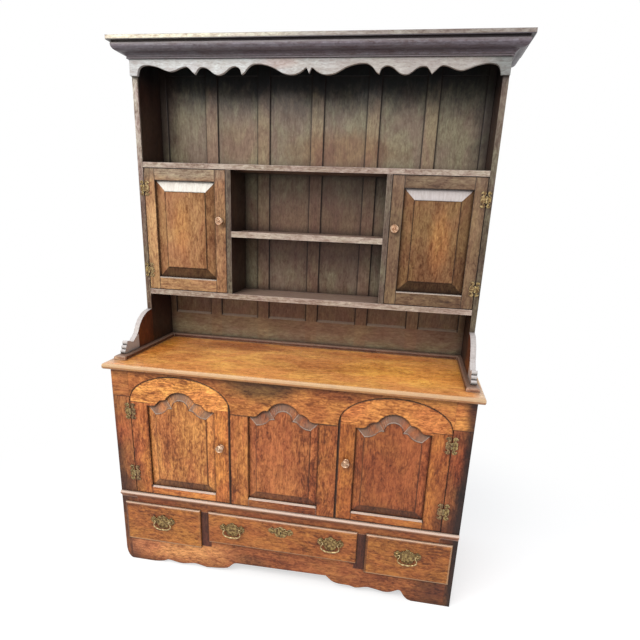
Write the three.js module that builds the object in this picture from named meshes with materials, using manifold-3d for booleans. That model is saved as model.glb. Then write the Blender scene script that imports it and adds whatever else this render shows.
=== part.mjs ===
// A Welsh dresser in oak: an enclosed base with two arched doors and three drawers, and a rack above it.
// Millimetres, +Z up, the front faces -Y. The group's origin is on the floor, in the middle of the whole box.
import * as THREE from 'three';
import { mergeVertices } from 'three/addons/utils/BufferGeometryUtils.js';
import Module from 'manifold-3d';

const wasm = await Module();
wasm.setup();

// Clearances
const fit = 0.3; // between two pieces that are joined or seated
const doorGap = 2; // round a door in its opening
const drawerGap = 1.5; // round a drawer in its opening
const overrun = 5; // how far a cut runs past what it cuts

// Driving dimensions of the base, measured from the front face of its frame and from the floor
const base = { depth: 495, height: 843, frame: 24, side: 24, back: 12 };
const worktop = { width: 1386, thickness: 22, overhang: 22, round: 7, roundSteps: 3 };
const stile = { width: 67, leg: 25, wearHeight: 50, wearPull: 8 };
const topRail = { depth: 138, tip: 30 };
const muntin = { width: 69.6 };
const waist = { bottom: 270, top: 325, beadHeight: 17, beadReach: 11, coveHeight: 12, coveReach: 4 };
const centreDrawer = { width: 583 };
const divider = { width: 48.5 };
const apron = { height: 112.5, centreRise: 35.5 };
const runner = { width: 18, height: 18 };
const cupboardFloor = { thickness: 14, drop: 4 };
const endPanel = { frontStile: 76, backStile: 60, topRail: 84, footRail: 70, bevel: 32, sink: 7 };
const endFoot = { front: 90, back: 70, height: 58, round: 34 };
const backBoard = { count: 6, groove: 4, grooveDepth: 2.5, footGap: 60 };

// Arched doors of the base and the fixed panel between them
const archDoor = { thickness: 22, springUp: 15, rise: 108, hingeStile: 68, lockStile: 61, bottomRail: 37 };
const centrePanel = { width: 268, bottomRail: 37 };
const head = { start: 114, end: 62, rise: 28, radius: 65, centreDrop: 1, fieldEnd: 42, fieldFlat: 2 };
const headShare = { opening: 0.4, field: 0.78 }; // how much of the ogee is hollow
const panel = { bevel: 32, tongue: 9, room: 1, set: 1, step: 2.5, slope: 8.5, edge: 5, lipRoom: 0.5 };
const chamfer = { rail: 6, stile: 2 };

// Drawers, pulls and lock plate
const drawer = { lip: 8, lipReach: 10, lipBack: 3, ovoloSteps: 3, front: 20, wall: 10, floor: 8, floorUp: 8 };
const drawerBox = { backRoom: 32.7, headroom: 8 };
const pullPlate = { width: 101, height: 62, thickness: 2.5 };
const post = { spacing: 77, radius: 4.2, reach: 13, up: 8, footRadius: 6.5, footHeight: 2 };
const bail = { radius: 2.4, drop: 41, spread: 31, pinLength: 6, bore: 0.3 };
const pullPlace = { outerRise: 16, centreRise: 7, centreShare: 0.679 };
const lockPlate = { rise: 26, width: 98, height: 48, thickness: 2 };
const keyhole = { radius: 3.2, slot: 3, drop: 12, depth: 9 };

// Hinges and knobs
const hinge = { width: 22, height: 66, leaf: 2, barrel: 3, knuckle: 8 };
const rackHinge = { width: 16.5, height: 56 };
const hingeInset = { top: 152, bottom: 85, rackTop: 74, rackBottom: 75 };
const knob = { radius: 15, reach: 30, neck: 5.5, rose: 10, inset: 33, upShare: 0.483 };
const rackKnob = { inset: 20, upShare: 0.602 };

// Driving dimensions of the rack
const rack = { inset: 3, front: 299, side: 20, back: 18 };
const shoe = { outside: 9, inside: 17, height: 15, front: 38, backDepth: 38, round: 7, roundSteps: 3 };
const shelf = { upper: 1588, middle: 1346, lower: 1103, upperThick: 19, thickness: 21, middleThick: 22 };
const rackDivider = { inner: 588, thickness: 19.5 };
const shelfGroove = { back: 45, width: 7, depth: 3 };
const wing = { rise: 138, nose: 66, tipBack: 135, tipUp: 34 };
const wingBead = { count: 3, up: 45, back: 102, front: 75 };
const rackDoor = { thickness: 20, hingeStile: 43, lockStile: 43, topRail: 43, bottomRail: 50, bevel: 40 };
const rackBack = { muntin: 50, pitch: 216, muntins: 5, endStile: 27, footRail: 96, headRail: 60 };
const rackBackPanel = { sink: 6, chamfer: 9 };
const cornice = { top: 1992, height: 62, cap: 12, reach: 55 };
const frieze = { thickness: 13, drop: 53 };

// Levels and places worked out from the sizes above
const baseHalf = worktop.width / 2 - worktop.overhang;
const stileInner = baseHalf - stile.width;
const legInner = baseHalf - stile.leg;
const sideInner = baseHalf - base.side;
const muntinInner = centrePanel.width / 2;
const muntinOuter = muntinInner + muntin.width;
const doorCentre = (stileInner + muntinOuter) / 2;
const doorHalf = (stileInner - muntinOuter) / 2 - doorGap;
const railBottom = base.height - topRail.depth;
const archSpring = railBottom + archDoor.springUp;
const archDoorTop = archSpring + archDoor.rise;
const archDoorBottom = waist.top + doorGap;
const headCentre = railBottom - head.centreDrop;
const dividerInner = centreDrawer.width / 2;
const worktopTop = base.height + worktop.thickness;
const rackHalf = baseHalf - rack.inset;
const rackInner = rackHalf - rack.side;
const rackFoot = worktopTop + shoe.height + fit;
const rackTop = cornice.top - cornice.cap;
const corniceBottom = cornice.top - cornice.height;
const rackBackFace = base.depth - rack.back;
const dividerHalf = rackDivider.inner / 2;
const dividerOuter = dividerHalf + rackDivider.thickness;
const cupboardTop = shelf.upper - shelf.upperThick;
const rackDoorFoot = shelf.lower + doorGap;
const rackDoorHead = cupboardTop - doorGap;
const upperHinge = archDoorTop - hingeInset.top;
const lowerHinge = archDoorBottom + hingeInset.bottom;
const rackUpperHinge = rackDoorHead - hingeInset.rackTop;
const rackLowerHinge = rackDoorFoot + hingeInset.rackBottom;
const knobReach = knob.reach + fit;

// Materials, one for each timber and finish
function finish(color, roughness, metalness) {
  return new THREE.MeshStandardMaterial({ color, roughness, metalness });
}
const baseOak = finish(0x8a4f2a, 0.45, 0);
const topOak = finish(0xb8722e, 0.35, 0);
const rackOak = finish(0x4f3227, 0.45, 0);
const drawerOak = finish(0x9a6a3e, 0.7, 0);
const brass = finish(0xa88a4a, 0.35, 1);
const darkBrass = finish(0x5c4128, 0.4, 0.6);

// Solids
const curveSteps = 8;
const splineSteps = 2;
const leafSteps = 1;
const mergeDistance = 1e-4;
const archSteps = 12;
const ogeeSteps = 4;

function solid(geometry) {
  const open = geometry.index ? geometry.toNonIndexed() : geometry;
  const bare = new THREE.BufferGeometry().setAttribute('position', open.getAttribute('position'));
  const merged = mergeVertices(bare, mergeDistance);
  const triVerts = new Uint32Array(merged.index.array);
  const vertProperties = merged.attributes.position.array;
  return new wasm.Manifold(new wasm.Mesh({ numProp: 3, vertProperties, triVerts }));
}

function geometryOf(body) {
  const mesh = body.getMesh();
  const geometry = new THREE.BufferGeometry();
  geometry.setAttribute('position', new THREE.BufferAttribute(new Float32Array(mesh.vertProperties), 3));
  geometry.setIndex(new THREE.BufferAttribute(new Uint32Array(mesh.triVerts), 1));
  geometry.computeVertexNormals();
  return geometry;
}

// The same solid on the other side of the middle, with its faces still pointing out.
function mirrored(body) {
  const geometry = geometryOf(body).toNonIndexed();
  geometry.scale(-1, 1, 1);
  const places = geometry.getAttribute('position');
  const swapped = new Float32Array(places.array);
  for (let i = 0; i < swapped.length; i += 9) {
    for (let k = 0; k < 3; k += 1) {
      swapped[i + 3 + k] = places.array[i + 6 + k];
      swapped[i + 6 + k] = places.array[i + 3 + k];
    }
  }
  return solid(new THREE.BufferGeometry().setAttribute('position', new THREE.BufferAttribute(swapped, 3)));
}

function box(x0, x1, y0, y1, z0, z1) {
  const geometry = new THREE.BoxGeometry(x1 - x0, y1 - y0, z1 - z0);
  geometry.translate((x0 + x1) / 2, (y0 + y1) / 2, (z0 + z1) / 2);
  return solid(geometry);
}

// A shape drawn in x and z, pushed back from y = front to y = back.
function frontBoard(shape, front, back, steps = curveSteps) {
  const options = { depth: back - front, bevelEnabled: false, curveSegments: steps };
  const geometry = new THREE.ExtrudeGeometry(shape, options);
  geometry.rotateX(Math.PI / 2);
  geometry.translate(0, back, 0);
  return solid(geometry);
}

// A shape drawn in y and z, pushed along x from left to right.
function sideBoard(shape, left, right, steps = curveSteps) {
  const options = { depth: right - left, bevelEnabled: false, curveSegments: steps };
  const geometry = new THREE.ExtrudeGeometry(shape, options);
  geometry.applyMatrix4(new THREE.Matrix4().set(0, 0, 1, left, 1, 0, 0, 0, 0, 1, 0, 0, 0, 0, 0, 1));
  return solid(geometry);
}

// A shape drawn in x and y, pushed up from z = bottom to z = top, with its edges rounded where asked.
function planBoard(shape, bottom, top, round = 0, roundSteps = 1) {
  const geometry = new THREE.ExtrudeGeometry(shape, {
    depth: top - bottom - 2 * round,
    bevelEnabled: round > 0,
    bevelThickness: round,
    bevelSize: round,
    bevelSegments: roundSteps,
    curveSegments: curveSteps,
  });
  geometry.translate(0, 0, bottom + round);
  return solid(geometry);
}

function rectangle(x0, x1, z0, z1) {
  return [
    new THREE.Vector2(x1, z0),
    new THREE.Vector2(x1, z1),
    new THREE.Vector2(x0, z1),
    new THREE.Vector2(x0, z0),
  ];
}

// Skins a stack of outlines with as many points each, from the face that shows inwards. An outline runs
// anticlockwise as it is seen, and place puts its two coordinates and its depth into the part's frame.
const onFront = (across, up, depth) => [across, depth, up];
function loft(rings, place = onFront) {
  const count = rings[0].points.length;
  const corner = (ring, j) => place(ring.points[j % count].x, ring.points[j % count].y, ring.depth);
  const triangles = [];
  for (let i = 0; i + 1 < rings.length; i += 1) {
    const near = rings[i];
    const far = rings[i + 1];
    for (let j = 0; j < count; j += 1) {
      triangles.push(corner(near, j), corner(far, j), corner(near, j + 1));
      triangles.push(corner(near, j + 1), corner(far, j), corner(far, j + 1));
    }
  }
  const first = rings[0];
  const last = rings[rings.length - 1];
  for (const [a, b, c] of THREE.ShapeUtils.triangulateShape(first.points, [])) {
    triangles.push(corner(first, a), corner(first, b), corner(first, c));
  }
  for (const [a, b, c] of THREE.ShapeUtils.triangulateShape(last.points, [])) {
    triangles.push(corner(last, c), corner(last, b), corner(last, a));
  }
  const places = new Float32Array(triangles.flat());
  return solid(new THREE.BufferGeometry().setAttribute('position', new THREE.BufferAttribute(places, 3)));
}

// The assembly
const dresser = new THREE.Group();
const pieces = new THREE.Group();
pieces.position.y = (knobReach - base.depth) / 2;
dresser.add(pieces);

function add(name, body, material, x = 0, y = 0, z = 0) {
  const mesh = new THREE.Mesh(geometryOf(body), material);
  mesh.name = name;
  mesh.position.set(x, y, z);
  pieces.add(mesh);
}

function addPair(name, body, material, x = 0, y = 0, z = 0) {
  add(`right_${name}`, body, material, x, y, z);
  add(`left_${name}`, mirrored(body), material, -x, y, z);
}

// Worktop: one wide board with a rounded edge
const worktopHalf = worktop.width / 2 - worktop.round;
const worktopOutline = rectangle(
  -worktopHalf,
  worktopHalf,
  -worktop.overhang + worktop.round,
  base.depth - worktop.round,
);
add(
  'worktop',
  planBoard(new THREE.Shape(worktopOutline), base.height, worktopTop, worktop.round, worktop.roundSteps),
  topOak,
);

// Ogee-headed outlines: square shoulders, a hollow and a round rising to a step, and a round arch on top.
// The points run up the right side, over the arch and down the left.
function headOutline({ half, bottom, shoulder, start, end, rise, hollowShare, radius, centre }) {
  const reach = start - end;
  const radii = (reach * reach + rise * rise) / (2 * rise);
  const turn = Math.asin(reach / radii);
  const hollow = radii * hollowShare;
  const round = radii - hollow;
  const right = [[half, bottom], [half, shoulder]];
  for (let i = 0; i <= ogeeSteps; i += 1) {
    const angle = (turn * i) / ogeeSteps;
    right.push([start - hollow * Math.sin(angle), shoulder + hollow * (1 - Math.cos(angle))]);
  }
  for (let i = ogeeSteps - 1; i >= 0; i -= 1) {
    const angle = (turn * i) / ogeeSteps;
    right.push([end + round * Math.sin(angle), shoulder + rise - round * (1 - Math.cos(angle))]);
  }
  const foot = Math.asin((shoulder + rise - centre) / radius);
  for (let i = 0; i < archSteps / 2; i += 1) {
    const angle = foot + ((Math.PI / 2 - foot) * i) / (archSteps / 2);
    right.push([radius * Math.cos(angle), centre + radius * Math.sin(angle)]);
  }
  const left = right.map(([x, z]) => [-x, z]).reverse();
  return [...right, [0, centre + radius], ...left].map(([x, z]) => new THREE.Vector2(x, z));
}

// The outline of a headed opening of a given half width and foot, grown by a margin.
function headedOpening(half, bottom, grow = 0) {
  return headOutline({
    half: half + grow,
    bottom: bottom - grow,
    shoulder: railBottom + grow,
    start: head.start,
    end: head.end + grow / 2,
    rise: head.rise,
    hollowShare: headShare.opening,
    radius: head.radius + grow,
    centre: headCentre,
  });
}

function headedField(half, bottom) {
  return headOutline({
    half: half - panel.bevel,
    bottom: bottom + panel.bevel,
    shoulder: railBottom - panel.bevel,
    start: half - panel.bevel - head.fieldFlat,
    end: head.fieldEnd,
    rise: head.rise,
    hollowShare: headShare.field,
    radius: head.radius - panel.bevel,
    centre: headCentre,
  });
}

// A raised and fielded panel: a flat field, a small step round it, and a bevel that runs into the groove.
function raisedPanel(field, edge, front = 0) {
  const face = front + panel.set;
  return loft([
    { points: field, depth: face },
    { points: field, depth: face + panel.step },
    { points: edge, depth: face + panel.step + panel.slope },
    { points: edge, depth: face + panel.step + panel.slope + panel.edge },
  ]);
}

// The groove for such a panel: it stops behind the lip, whose depth follows the bevel where it goes under.
function grooveDepths(bevel, front = 0) {
  const under = (panel.slope * bevel) / (bevel + panel.tongue);
  const lip = front + panel.set + panel.step + under - panel.lipRoom;
  const back = front + panel.set + panel.step + panel.slope + panel.edge + fit;
  return [lip, back];
}
const [grooveFront, grooveBack] = grooveDepths(panel.bevel);

function groove(half, bottom) {
  const outline = headedOpening(half, bottom, panel.tongue + panel.room);
  return frontBoard(new THREE.Shape(outline), grooveFront, grooveBack);
}

// What a headed opening takes out of its frame: the hole, a wide chamfer on the rail under it and a thin
// one on each stile, which stops at the shoulder.
function triangle(a, b, c) {
  return new THREE.Shape([a, b, c].map(([across, up]) => new THREE.Vector2(across, up)));
}
function opening(half, bottom) {
  const hole = frontBoard(new THREE.Shape(headedOpening(half, bottom)), -overrun, base.frame + overrun);
  const sill = triangle(
    [-overrun, bottom - chamfer.rail - overrun],
    [chamfer.rail + overrun, bottom + overrun],
    [-overrun, bottom + overrun],
  );
  const edge = triangle(
    [half + chamfer.stile + overrun, -overrun],
    [half - overrun, chamfer.stile + overrun],
    [half - overrun, -overrun],
  );
  const right = planBoard(edge, bottom, railBottom);
  return hole.add(sideBoard(sill, -half, half)).add(right).add(mirrored(right));
}

// A cut-out or a door with an arched head, half an ellipse on straight sides.
function archedShape(centre, half, bottom, spring, rise) {
  const shape = new THREE.Shape();
  shape.moveTo(centre - half, bottom);
  shape.lineTo(centre + half, bottom);
  shape.lineTo(centre + half, spring);
  shape.absellipse(centre, spring, half, rise, 0, Math.PI, false);
  shape.lineTo(centre - half, bottom);
  return shape;
}

// Hinge leaves, each half a pair of cock's heads, drawn outwards from the axis of the barrel
const leafShares = [
  [0.26, 0.34],
  [0.42, 0.42],
  [0.2, 0.6],
  [0.14, 0.82],
  [0.38, 1],
  [0.76, 0.95],
  [1, 0.72],
  [0.84, 0.62],
  [0.62, 0.72],
  [0.54, 0.58],
  [0.72, 0.4],
  [0.98, 0.3],
  [0.9, 0.1],
];
function leafShape(width, height) {
  const neck = hinge.knuckle * 1.5 + fit;
  const upper = leafShares.map(([u, v]) => new THREE.Vector2(u * width, (v * height) / 2));
  const lower = upper.map((point) => new THREE.Vector2(point.x, -point.y)).reverse();
  const shape = new THREE.Shape();
  shape.moveTo(0, -neck);
  shape.lineTo(0, neck);
  shape.splineThru([...upper, ...lower]);
  shape.lineTo(0, -neck);
  return shape;
}

function barrel(z0, z1) {
  const geometry = new THREE.CylinderGeometry(hinge.barrel, hinge.barrel, z1 - z0, curveSteps);
  geometry.rotateX(Math.PI / 2);
  geometry.translate(0, 0, (z0 + z1) / 2);
  return solid(geometry);
}

// A leaf in its own frame: the barrel's axis at the origin, the wood's face one barrel and a fit behind it.
const leafFace = hinge.barrel + fit;
function leaf(width, height, behind) {
  return frontBoard(leafShape(width, height), leafFace - fit - hinge.leaf, leafFace - behind, leafSteps);
}

function frameLeaf(width, height) {
  const half = hinge.knuckle / 2 + fit;
  const knuckles = barrel(half, half + hinge.knuckle).add(barrel(-half - hinge.knuckle, -half));
  const webs = box(0, hinge.barrel, 0, leafFace - fit, half, half + hinge.knuckle).add(
    box(0, hinge.barrel, 0, leafFace - fit, -half - hinge.knuckle, -half),
  );
  const clearOfDoor = box(-hinge.width, hinge.barrel + fit, -leafFace, leafFace * 2, -half, half);
  const plate = leaf(width, height, -fit).subtract(clearOfDoor);
  return plate.add(knuckles).add(webs);
}

function doorLeaf(width, height) {
  const half = hinge.knuckle / 2;
  const room = half + hinge.knuckle + fit;
  const clearOfFrame = box(0, hinge.barrel + fit, -leafFace, leafFace, half, room).add(
    box(0, hinge.barrel + fit, -leafFace, leafFace, -room, -half),
  );
  const web = box(0, hinge.barrel, 0, leafFace - fit, -half, half);
  return leaf(width, height, fit).subtract(clearOfFrame).add(barrel(-half, half)).add(web);
}

const hingeAxis = stileInner - doorGap / 2;
const hingeFront = -leafFace;
const rackHingeAxis = rackInner - doorGap / 2;
const rackHingeFront = rack.front - leafFace;

function shifted(body, x, y, z) {
  const geometry = geometryOf(body);
  geometry.translate(x, y, z);
  return solid(geometry);
}

// Front frame of the base: the stiles run down as legs, narrower beside the drawers
function stileBody() {
  const top = base.height - fit;
  const shape = new THREE.Shape();
  shape.moveTo(legInner, 0);
  shape.lineTo(baseHalf, 0);
  shape.lineTo(baseHalf, top);
  shape.lineTo(stileInner, top);
  shape.lineTo(stileInner, waist.bottom);
  shape.lineTo(legInner, waist.bottom);
  shape.lineTo(legInner, 0);
  let body = frontBoard(shape, 0, base.frame);
  for (const up of [upperHinge, lowerHinge]) {
    body = body.add(shifted(frameLeaf(hinge.width, hinge.height), hingeAxis, hingeFront, up));
  }
  return body;
}
add('right_front_stile', stileBody(), baseOak);

// The left leg's outer corner is worn round at the floor
function wornCorner() {
  const { wearHeight, wearPull } = stile;
  const shape = new THREE.Shape();
  shape.moveTo(-baseHalf - overrun, wearHeight);
  shape.lineTo(-baseHalf, wearHeight);
  shape.quadraticCurveTo(wearPull / 2 - baseHalf, wearPull, -legInner, 0);
  shape.lineTo(-legInner, -overrun);
  shape.lineTo(-baseHalf - overrun, -overrun);
  shape.lineTo(-baseHalf - overrun, wearHeight);
  return frontBoard(shape, -overrun, base.frame + overrun);
}
add('left_front_stile', mirrored(stileBody()).subtract(wornCorner()), baseOak);

function topRailBody() {
  const end = stileInner - fit;
  const archHalf = doorHalf + doorGap;
  let body = box(-end, end, 0, base.frame, railBottom, base.height - fit);
  for (const side of [-1, 1]) {
    const arch = archedShape(side * doorCentre, archHalf, 0, archSpring, archDoor.rise + doorGap);
    body = body.subtract(frontBoard(arch, -overrun, base.frame + overrun));
    const tip = side * (end - overrun);
    const tipEnds = [tip, side * (end + overrun)].sort((a, b) => a - b);
    body = body.subtract(
      box(...tipEnds, -overrun, base.frame + overrun, railBottom - overrun, railBottom + topRail.tip),
    );
  }
  const bottom = waist.top + centrePanel.bottomRail;
  return body.subtract(opening(muntinInner, bottom)).subtract(groove(muntinInner, bottom));
}
add('front_top_rail', topRailBody(), baseOak);

const centreBottom = waist.top + centrePanel.bottomRail;
const muntinBody = box(muntinInner, muntinOuter, 0, base.frame, waist.top + fit, railBottom - fit)
  .subtract(opening(muntinInner, centreBottom))
  .subtract(groove(muntinInner, centreBottom));
addPair('door_muntin', muntinBody, baseOak);

add(
  'centre_panel',
  raisedPanel(
    headedField(muntinInner, centreBottom),
    headedOpening(muntinInner, centreBottom, panel.tongue),
  ),
  baseOak,
);

// Waist rail: it holds the foot of the fixed panel, and its bead runs on across both stiles
function waistRail() {
  const end = stileInner - fit;
  const foot = box(-end, end, 0, base.frame, waist.bottom, waist.top);
  const raised = box(-muntinInner + fit, muntinInner - fit, 0, base.frame, waist.bottom, centreBottom);
  const beadRadius = waist.beadHeight / 2;
  const beadUp = waist.top - beadRadius;
  const shape = new THREE.Shape();
  shape.moveTo(-fit, waist.top);
  shape.lineTo(beadRadius - waist.beadReach, waist.top);
  shape.absarc(beadRadius - waist.beadReach, beadUp, beadRadius, Math.PI / 2, (3 * Math.PI) / 2, false);
  shape.lineTo(-waist.coveReach, waist.top - waist.beadHeight);
  shape.quadraticCurveTo(
    -fit - waist.coveReach / 4,
    waist.top - waist.beadHeight - waist.coveHeight / 4,
    -fit,
    waist.top - waist.beadHeight - waist.coveHeight,
  );
  shape.lineTo(-fit, waist.top);
  const bead = sideBoard(shape, -baseHalf, baseHalf);
  const bond = box(-end, end, -fit * 2, fit, waist.top - waist.beadHeight, waist.top);
  return foot
    .add(raised)
    .subtract(opening(muntinInner, centreBottom))
    .subtract(groove(muntinInner, centreBottom))
    .add(bead)
    .add(bond);
}
add('waist_rail', waistRail(), baseOak);

// Drawer openings, from the leg to the divider and between the dividers
const dividerOuterFace = dividerInner + divider.width;
const centreDrawerFoot = apron.height + apron.centreRise;

// Dividers: a short muntin in front, and behind it the guide with a runner on each side
function dividerBody() {
  const behind = base.frame + fit;
  const back = base.depth - base.back - fit;
  const front = box(
    dividerInner,
    dividerOuterFace,
    0,
    behind + overrun,
    apron.height + fit,
    waist.bottom - fit,
  );
  const outerRun = apron.height + drawerGap - fit;
  const innerRun = centreDrawerFoot + drawerGap - fit;
  const shape = new THREE.Shape();
  shape.moveTo(dividerInner, innerRun - runner.height);
  shape.lineTo(dividerInner, outerRun - runner.height);
  shape.lineTo(dividerOuterFace + runner.width, outerRun - runner.height);
  shape.lineTo(dividerOuterFace + runner.width, outerRun);
  shape.lineTo(dividerOuterFace, outerRun);
  shape.lineTo(dividerOuterFace, waist.bottom - fit);
  shape.lineTo(dividerInner, waist.bottom - fit);
  shape.lineTo(dividerInner, innerRun);
  shape.lineTo(dividerInner - runner.width, innerRun);
  shape.lineTo(dividerInner - runner.width, innerRun - runner.height);
  shape.lineTo(dividerInner, innerRun - runner.height);
  return front.add(frontBoard(shape, behind, back));
}
addPair('drawer_divider', dividerBody(), baseOak);

// Apron: shaped along its lower edge, on the floor where it meets the legs, and cut lower on the left.
// The shares are of the half length and of the height under the outer drawers, from left to right.
const apronShares = {
  leftFoot: [
    [-0.81, 0.035],
    [-0.78, 0.078],
    [-0.753, 0.155],
  ],
  leftWave: [
    [-0.72, 0.13],
    [-0.685, 0.09],
    [-0.65, 0.082],
    [-0.61, 0.125],
    [-0.57, 0.165],
    [-0.535, 0.135],
    [-0.49, 0.078],
  ],
  leftRise: [
    [-0.45, 0.1],
    [-0.4, 0.13],
    [-0.35, 0.19],
    [-0.325, 0.31],
    [-0.3065, 0.41],
    [-0.285, 0.445],
  ],
  rightDrop: [
    [0.305, 0.41],
    [0.33, 0.3],
    [0.37, 0.25],
    [0.43, 0.245],
    [0.469, 0.19],
  ],
  rightWave: [
    [0.5, 0.225],
    [0.54, 0.29],
    [0.58, 0.27],
    [0.615, 0.235],
    [0.648, 0.205],
    [0.685, 0.24],
    [0.728, 0.37],
  ],
  rightFoot: [
    [0.745, 0.345],
    [0.765, 0.17],
    [0.787, 0.05],
    [0.812, 0],
  ],
};
const apronEnds = { leftFootShare: -0.85, rightMiddle: [0.285, 0.51] };
function apronBody() {
  const end = legInner - fit;
  const top = apron.height;
  const at = ([u, v]) => new THREE.Vector2(u * end, v * top);
  const shape = new THREE.Shape();
  shape.moveTo(end, 0);
  shape.lineTo(end, top);
  shape.lineTo(dividerInner - fit, top);
  shape.lineTo(dividerInner - fit, centreDrawerFoot);
  shape.lineTo(fit - dividerInner, centreDrawerFoot);
  shape.lineTo(fit - dividerInner, top);
  shape.lineTo(-end, top);
  shape.lineTo(-end, 0);
  shape.lineTo(apronEnds.leftFootShare * end, 0);
  const { leftFoot, leftWave, leftRise, rightDrop, rightWave, rightFoot } = apronShares;
  for (const stretch of [leftFoot, leftWave, leftRise]) shape.splineThru(stretch.map(at));
  const start = at(apronEnds.rightMiddle);
  shape.lineTo(start.x, start.y);
  for (const stretch of [rightDrop, rightWave, rightFoot]) shape.splineThru(stretch.map(at));
  shape.lineTo(end, 0);
  return frontBoard(shape, 0, base.frame, splineSteps);
}
add('apron', apronBody(), baseOak);

// Ends of the base: a framed end with a raised panel, a shaped foot and the outer drawer runner
function endBody() {
  const front = base.frame + fit;
  const top = base.height - fit;
  const footFront = front + endFoot.front;
  const footBack = base.depth - endFoot.back;
  const shape = new THREE.Shape();
  shape.moveTo(front, 0);
  shape.lineTo(footFront, 0);
  shape.quadraticCurveTo(footFront, endFoot.height, footFront + endFoot.round, endFoot.height);
  shape.lineTo(footBack - endFoot.round, endFoot.height);
  shape.quadraticCurveTo(footBack, endFoot.height, footBack, 0);
  shape.lineTo(base.depth, 0);
  shape.lineTo(base.depth, top);
  shape.lineTo(front, top);
  shape.lineTo(front, 0);
  const y0 = endPanel.frontStile;
  const y1 = base.depth - endPanel.backStile;
  const z1 = base.height - endPanel.topRail;
  const onSide = (across, up, depth) => [baseHalf - depth, across, up];
  const relief = (low, high) => {
    const edge = rectangle(y0, y1, low, high);
    const field = rectangle(
      y0 + endPanel.bevel,
      y1 - endPanel.bevel,
      low + endPanel.bevel,
      high - endPanel.bevel,
    );
    const pocket = loft([{ points: edge, depth: -overrun }, { points: edge, depth: endPanel.sink }], onSide);
    const raised = loft(
      [
        { points: field, depth: panel.set },
        { points: field, depth: panel.set + panel.step },
        { points: edge, depth: endPanel.sink },
        { points: edge, depth: endPanel.sink + panel.edge },
      ],
      onSide,
    );
    return [pocket, raised];
  };
  let body = sideBoard(shape, sideInner, baseHalf);
  const spans = [
    [waist.top + endPanel.footRail / 2, z1],
    [apron.height + endPanel.footRail / 2, waist.bottom],
  ];
  for (const [low, high] of spans) {
    const [pocket, raised] = relief(low, high);
    body = body.subtract(pocket).add(raised);
  }
  const run = apron.height + drawerGap - fit;
  const ledge = box(
    legInner - runner.width,
    sideInner + overrun,
    front,
    base.depth - base.back - fit,
    run - runner.height,
    run,
  );
  return body.add(ledge);
}
addPair('base_end', endBody(), baseOak);

// Back of the base: upright boards, with a groove at each joint
function backBody() {
  const half = sideInner - fit;
  const front = base.depth - base.back;
  const width = (2 * half) / backBoard.count;
  const shape = new THREE.Shape();
  shape.moveTo(-half, front);
  shape.lineTo(half, front);
  shape.lineTo(half, base.depth);
  for (let i = backBoard.count - 1; i > 0; i -= 1) {
    const joint = -half + width * i;
    shape.lineTo(joint + backBoard.groove / 2, base.depth);
    shape.lineTo(joint, base.depth - backBoard.grooveDepth);
    shape.lineTo(joint - backBoard.groove / 2, base.depth);
  }
  shape.lineTo(-half, base.depth);
  shape.lineTo(-half, front);
  return planBoard(shape, backBoard.footGap, base.height - fit);
}
add('base_back', backBody(), drawerOak);

const floorTop = waist.top - cupboardFloor.drop;
add(
  'cupboard_floor',
  box(
    fit - sideInner,
    sideInner - fit,
    base.frame + fit,
    base.depth - base.back - fit,
    floorTop - cupboardFloor.thickness,
    floorTop,
  ),
  drawerOak,
);

// Arched doors: a joined frame round a raised, ogee-headed panel
const archPanelHalf = doorHalf - (archDoor.hingeStile + archDoor.lockStile) / 2;
const archPanelCentre = doorCentre - (archDoor.hingeStile - archDoor.lockStile) / 2;
const archPanelBottom = archDoorBottom + archDoor.bottomRail - doorGap;
const archOutline = archedShape(
  doorCentre - archPanelCentre,
  doorHalf,
  archDoorBottom,
  archSpring,
  archDoor.rise,
);
const archFrame = frontBoard(archOutline, 0, archDoor.thickness, archSteps)
  .subtract(opening(archPanelHalf, archPanelBottom))
  .subtract(groove(archPanelHalf, archPanelBottom));
addPair('door_frame', archFrame, baseOak, archPanelCentre);
const archPanelBody = raisedPanel(
  headedField(archPanelHalf, archPanelBottom),
  headedOpening(archPanelHalf, archPanelBottom, panel.tongue),
);
addPair('door_panel', archPanelBody, baseOak, archPanelCentre);
const baseLeaf = mirrored(doorLeaf(hinge.width, hinge.height));
addPair('door_upper_hinge', baseLeaf, brass, hingeAxis, hingeFront, upperHinge);
addPair('door_lower_hinge', baseLeaf, brass, hingeAxis, hingeFront, lowerHinge);

// Turned knobs, on a rose against the wood. The shares are of the head's radius and of the reach.
const knobShares = [
  [0.75, 0.476],
  [1, 0.68],
  [0.86, 0.86],
  [0.45, 0.97],
  [0, 1],
];
function knobBody() {
  const { radius, reach, neck, rose } = knob;
  const foot = [
    [0, 0],
    [rose, 0],
    [rose, reach / 10],
    [neck * 1.3, reach / 6],
    [neck, reach / 3],
  ];
  const shank = knobShares.map(([u, v]) => [u * radius, v * reach]);
  const profile = [...foot, ...shank].map(([r, h]) => new THREE.Vector2(r, h));
  const geometry = new THREE.LatheGeometry(profile, archSteps);
  geometry.rotateX(Math.PI);
  return solid(geometry);
}
const lockEdge = doorCentre - doorHalf;
const knobUp = archDoorBottom + (archDoorTop - archDoorBottom) * knob.upShare;
addPair('door_knob', knobBody(), darkBrass, lockEdge + knob.inset, -fit, knobUp);

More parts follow.
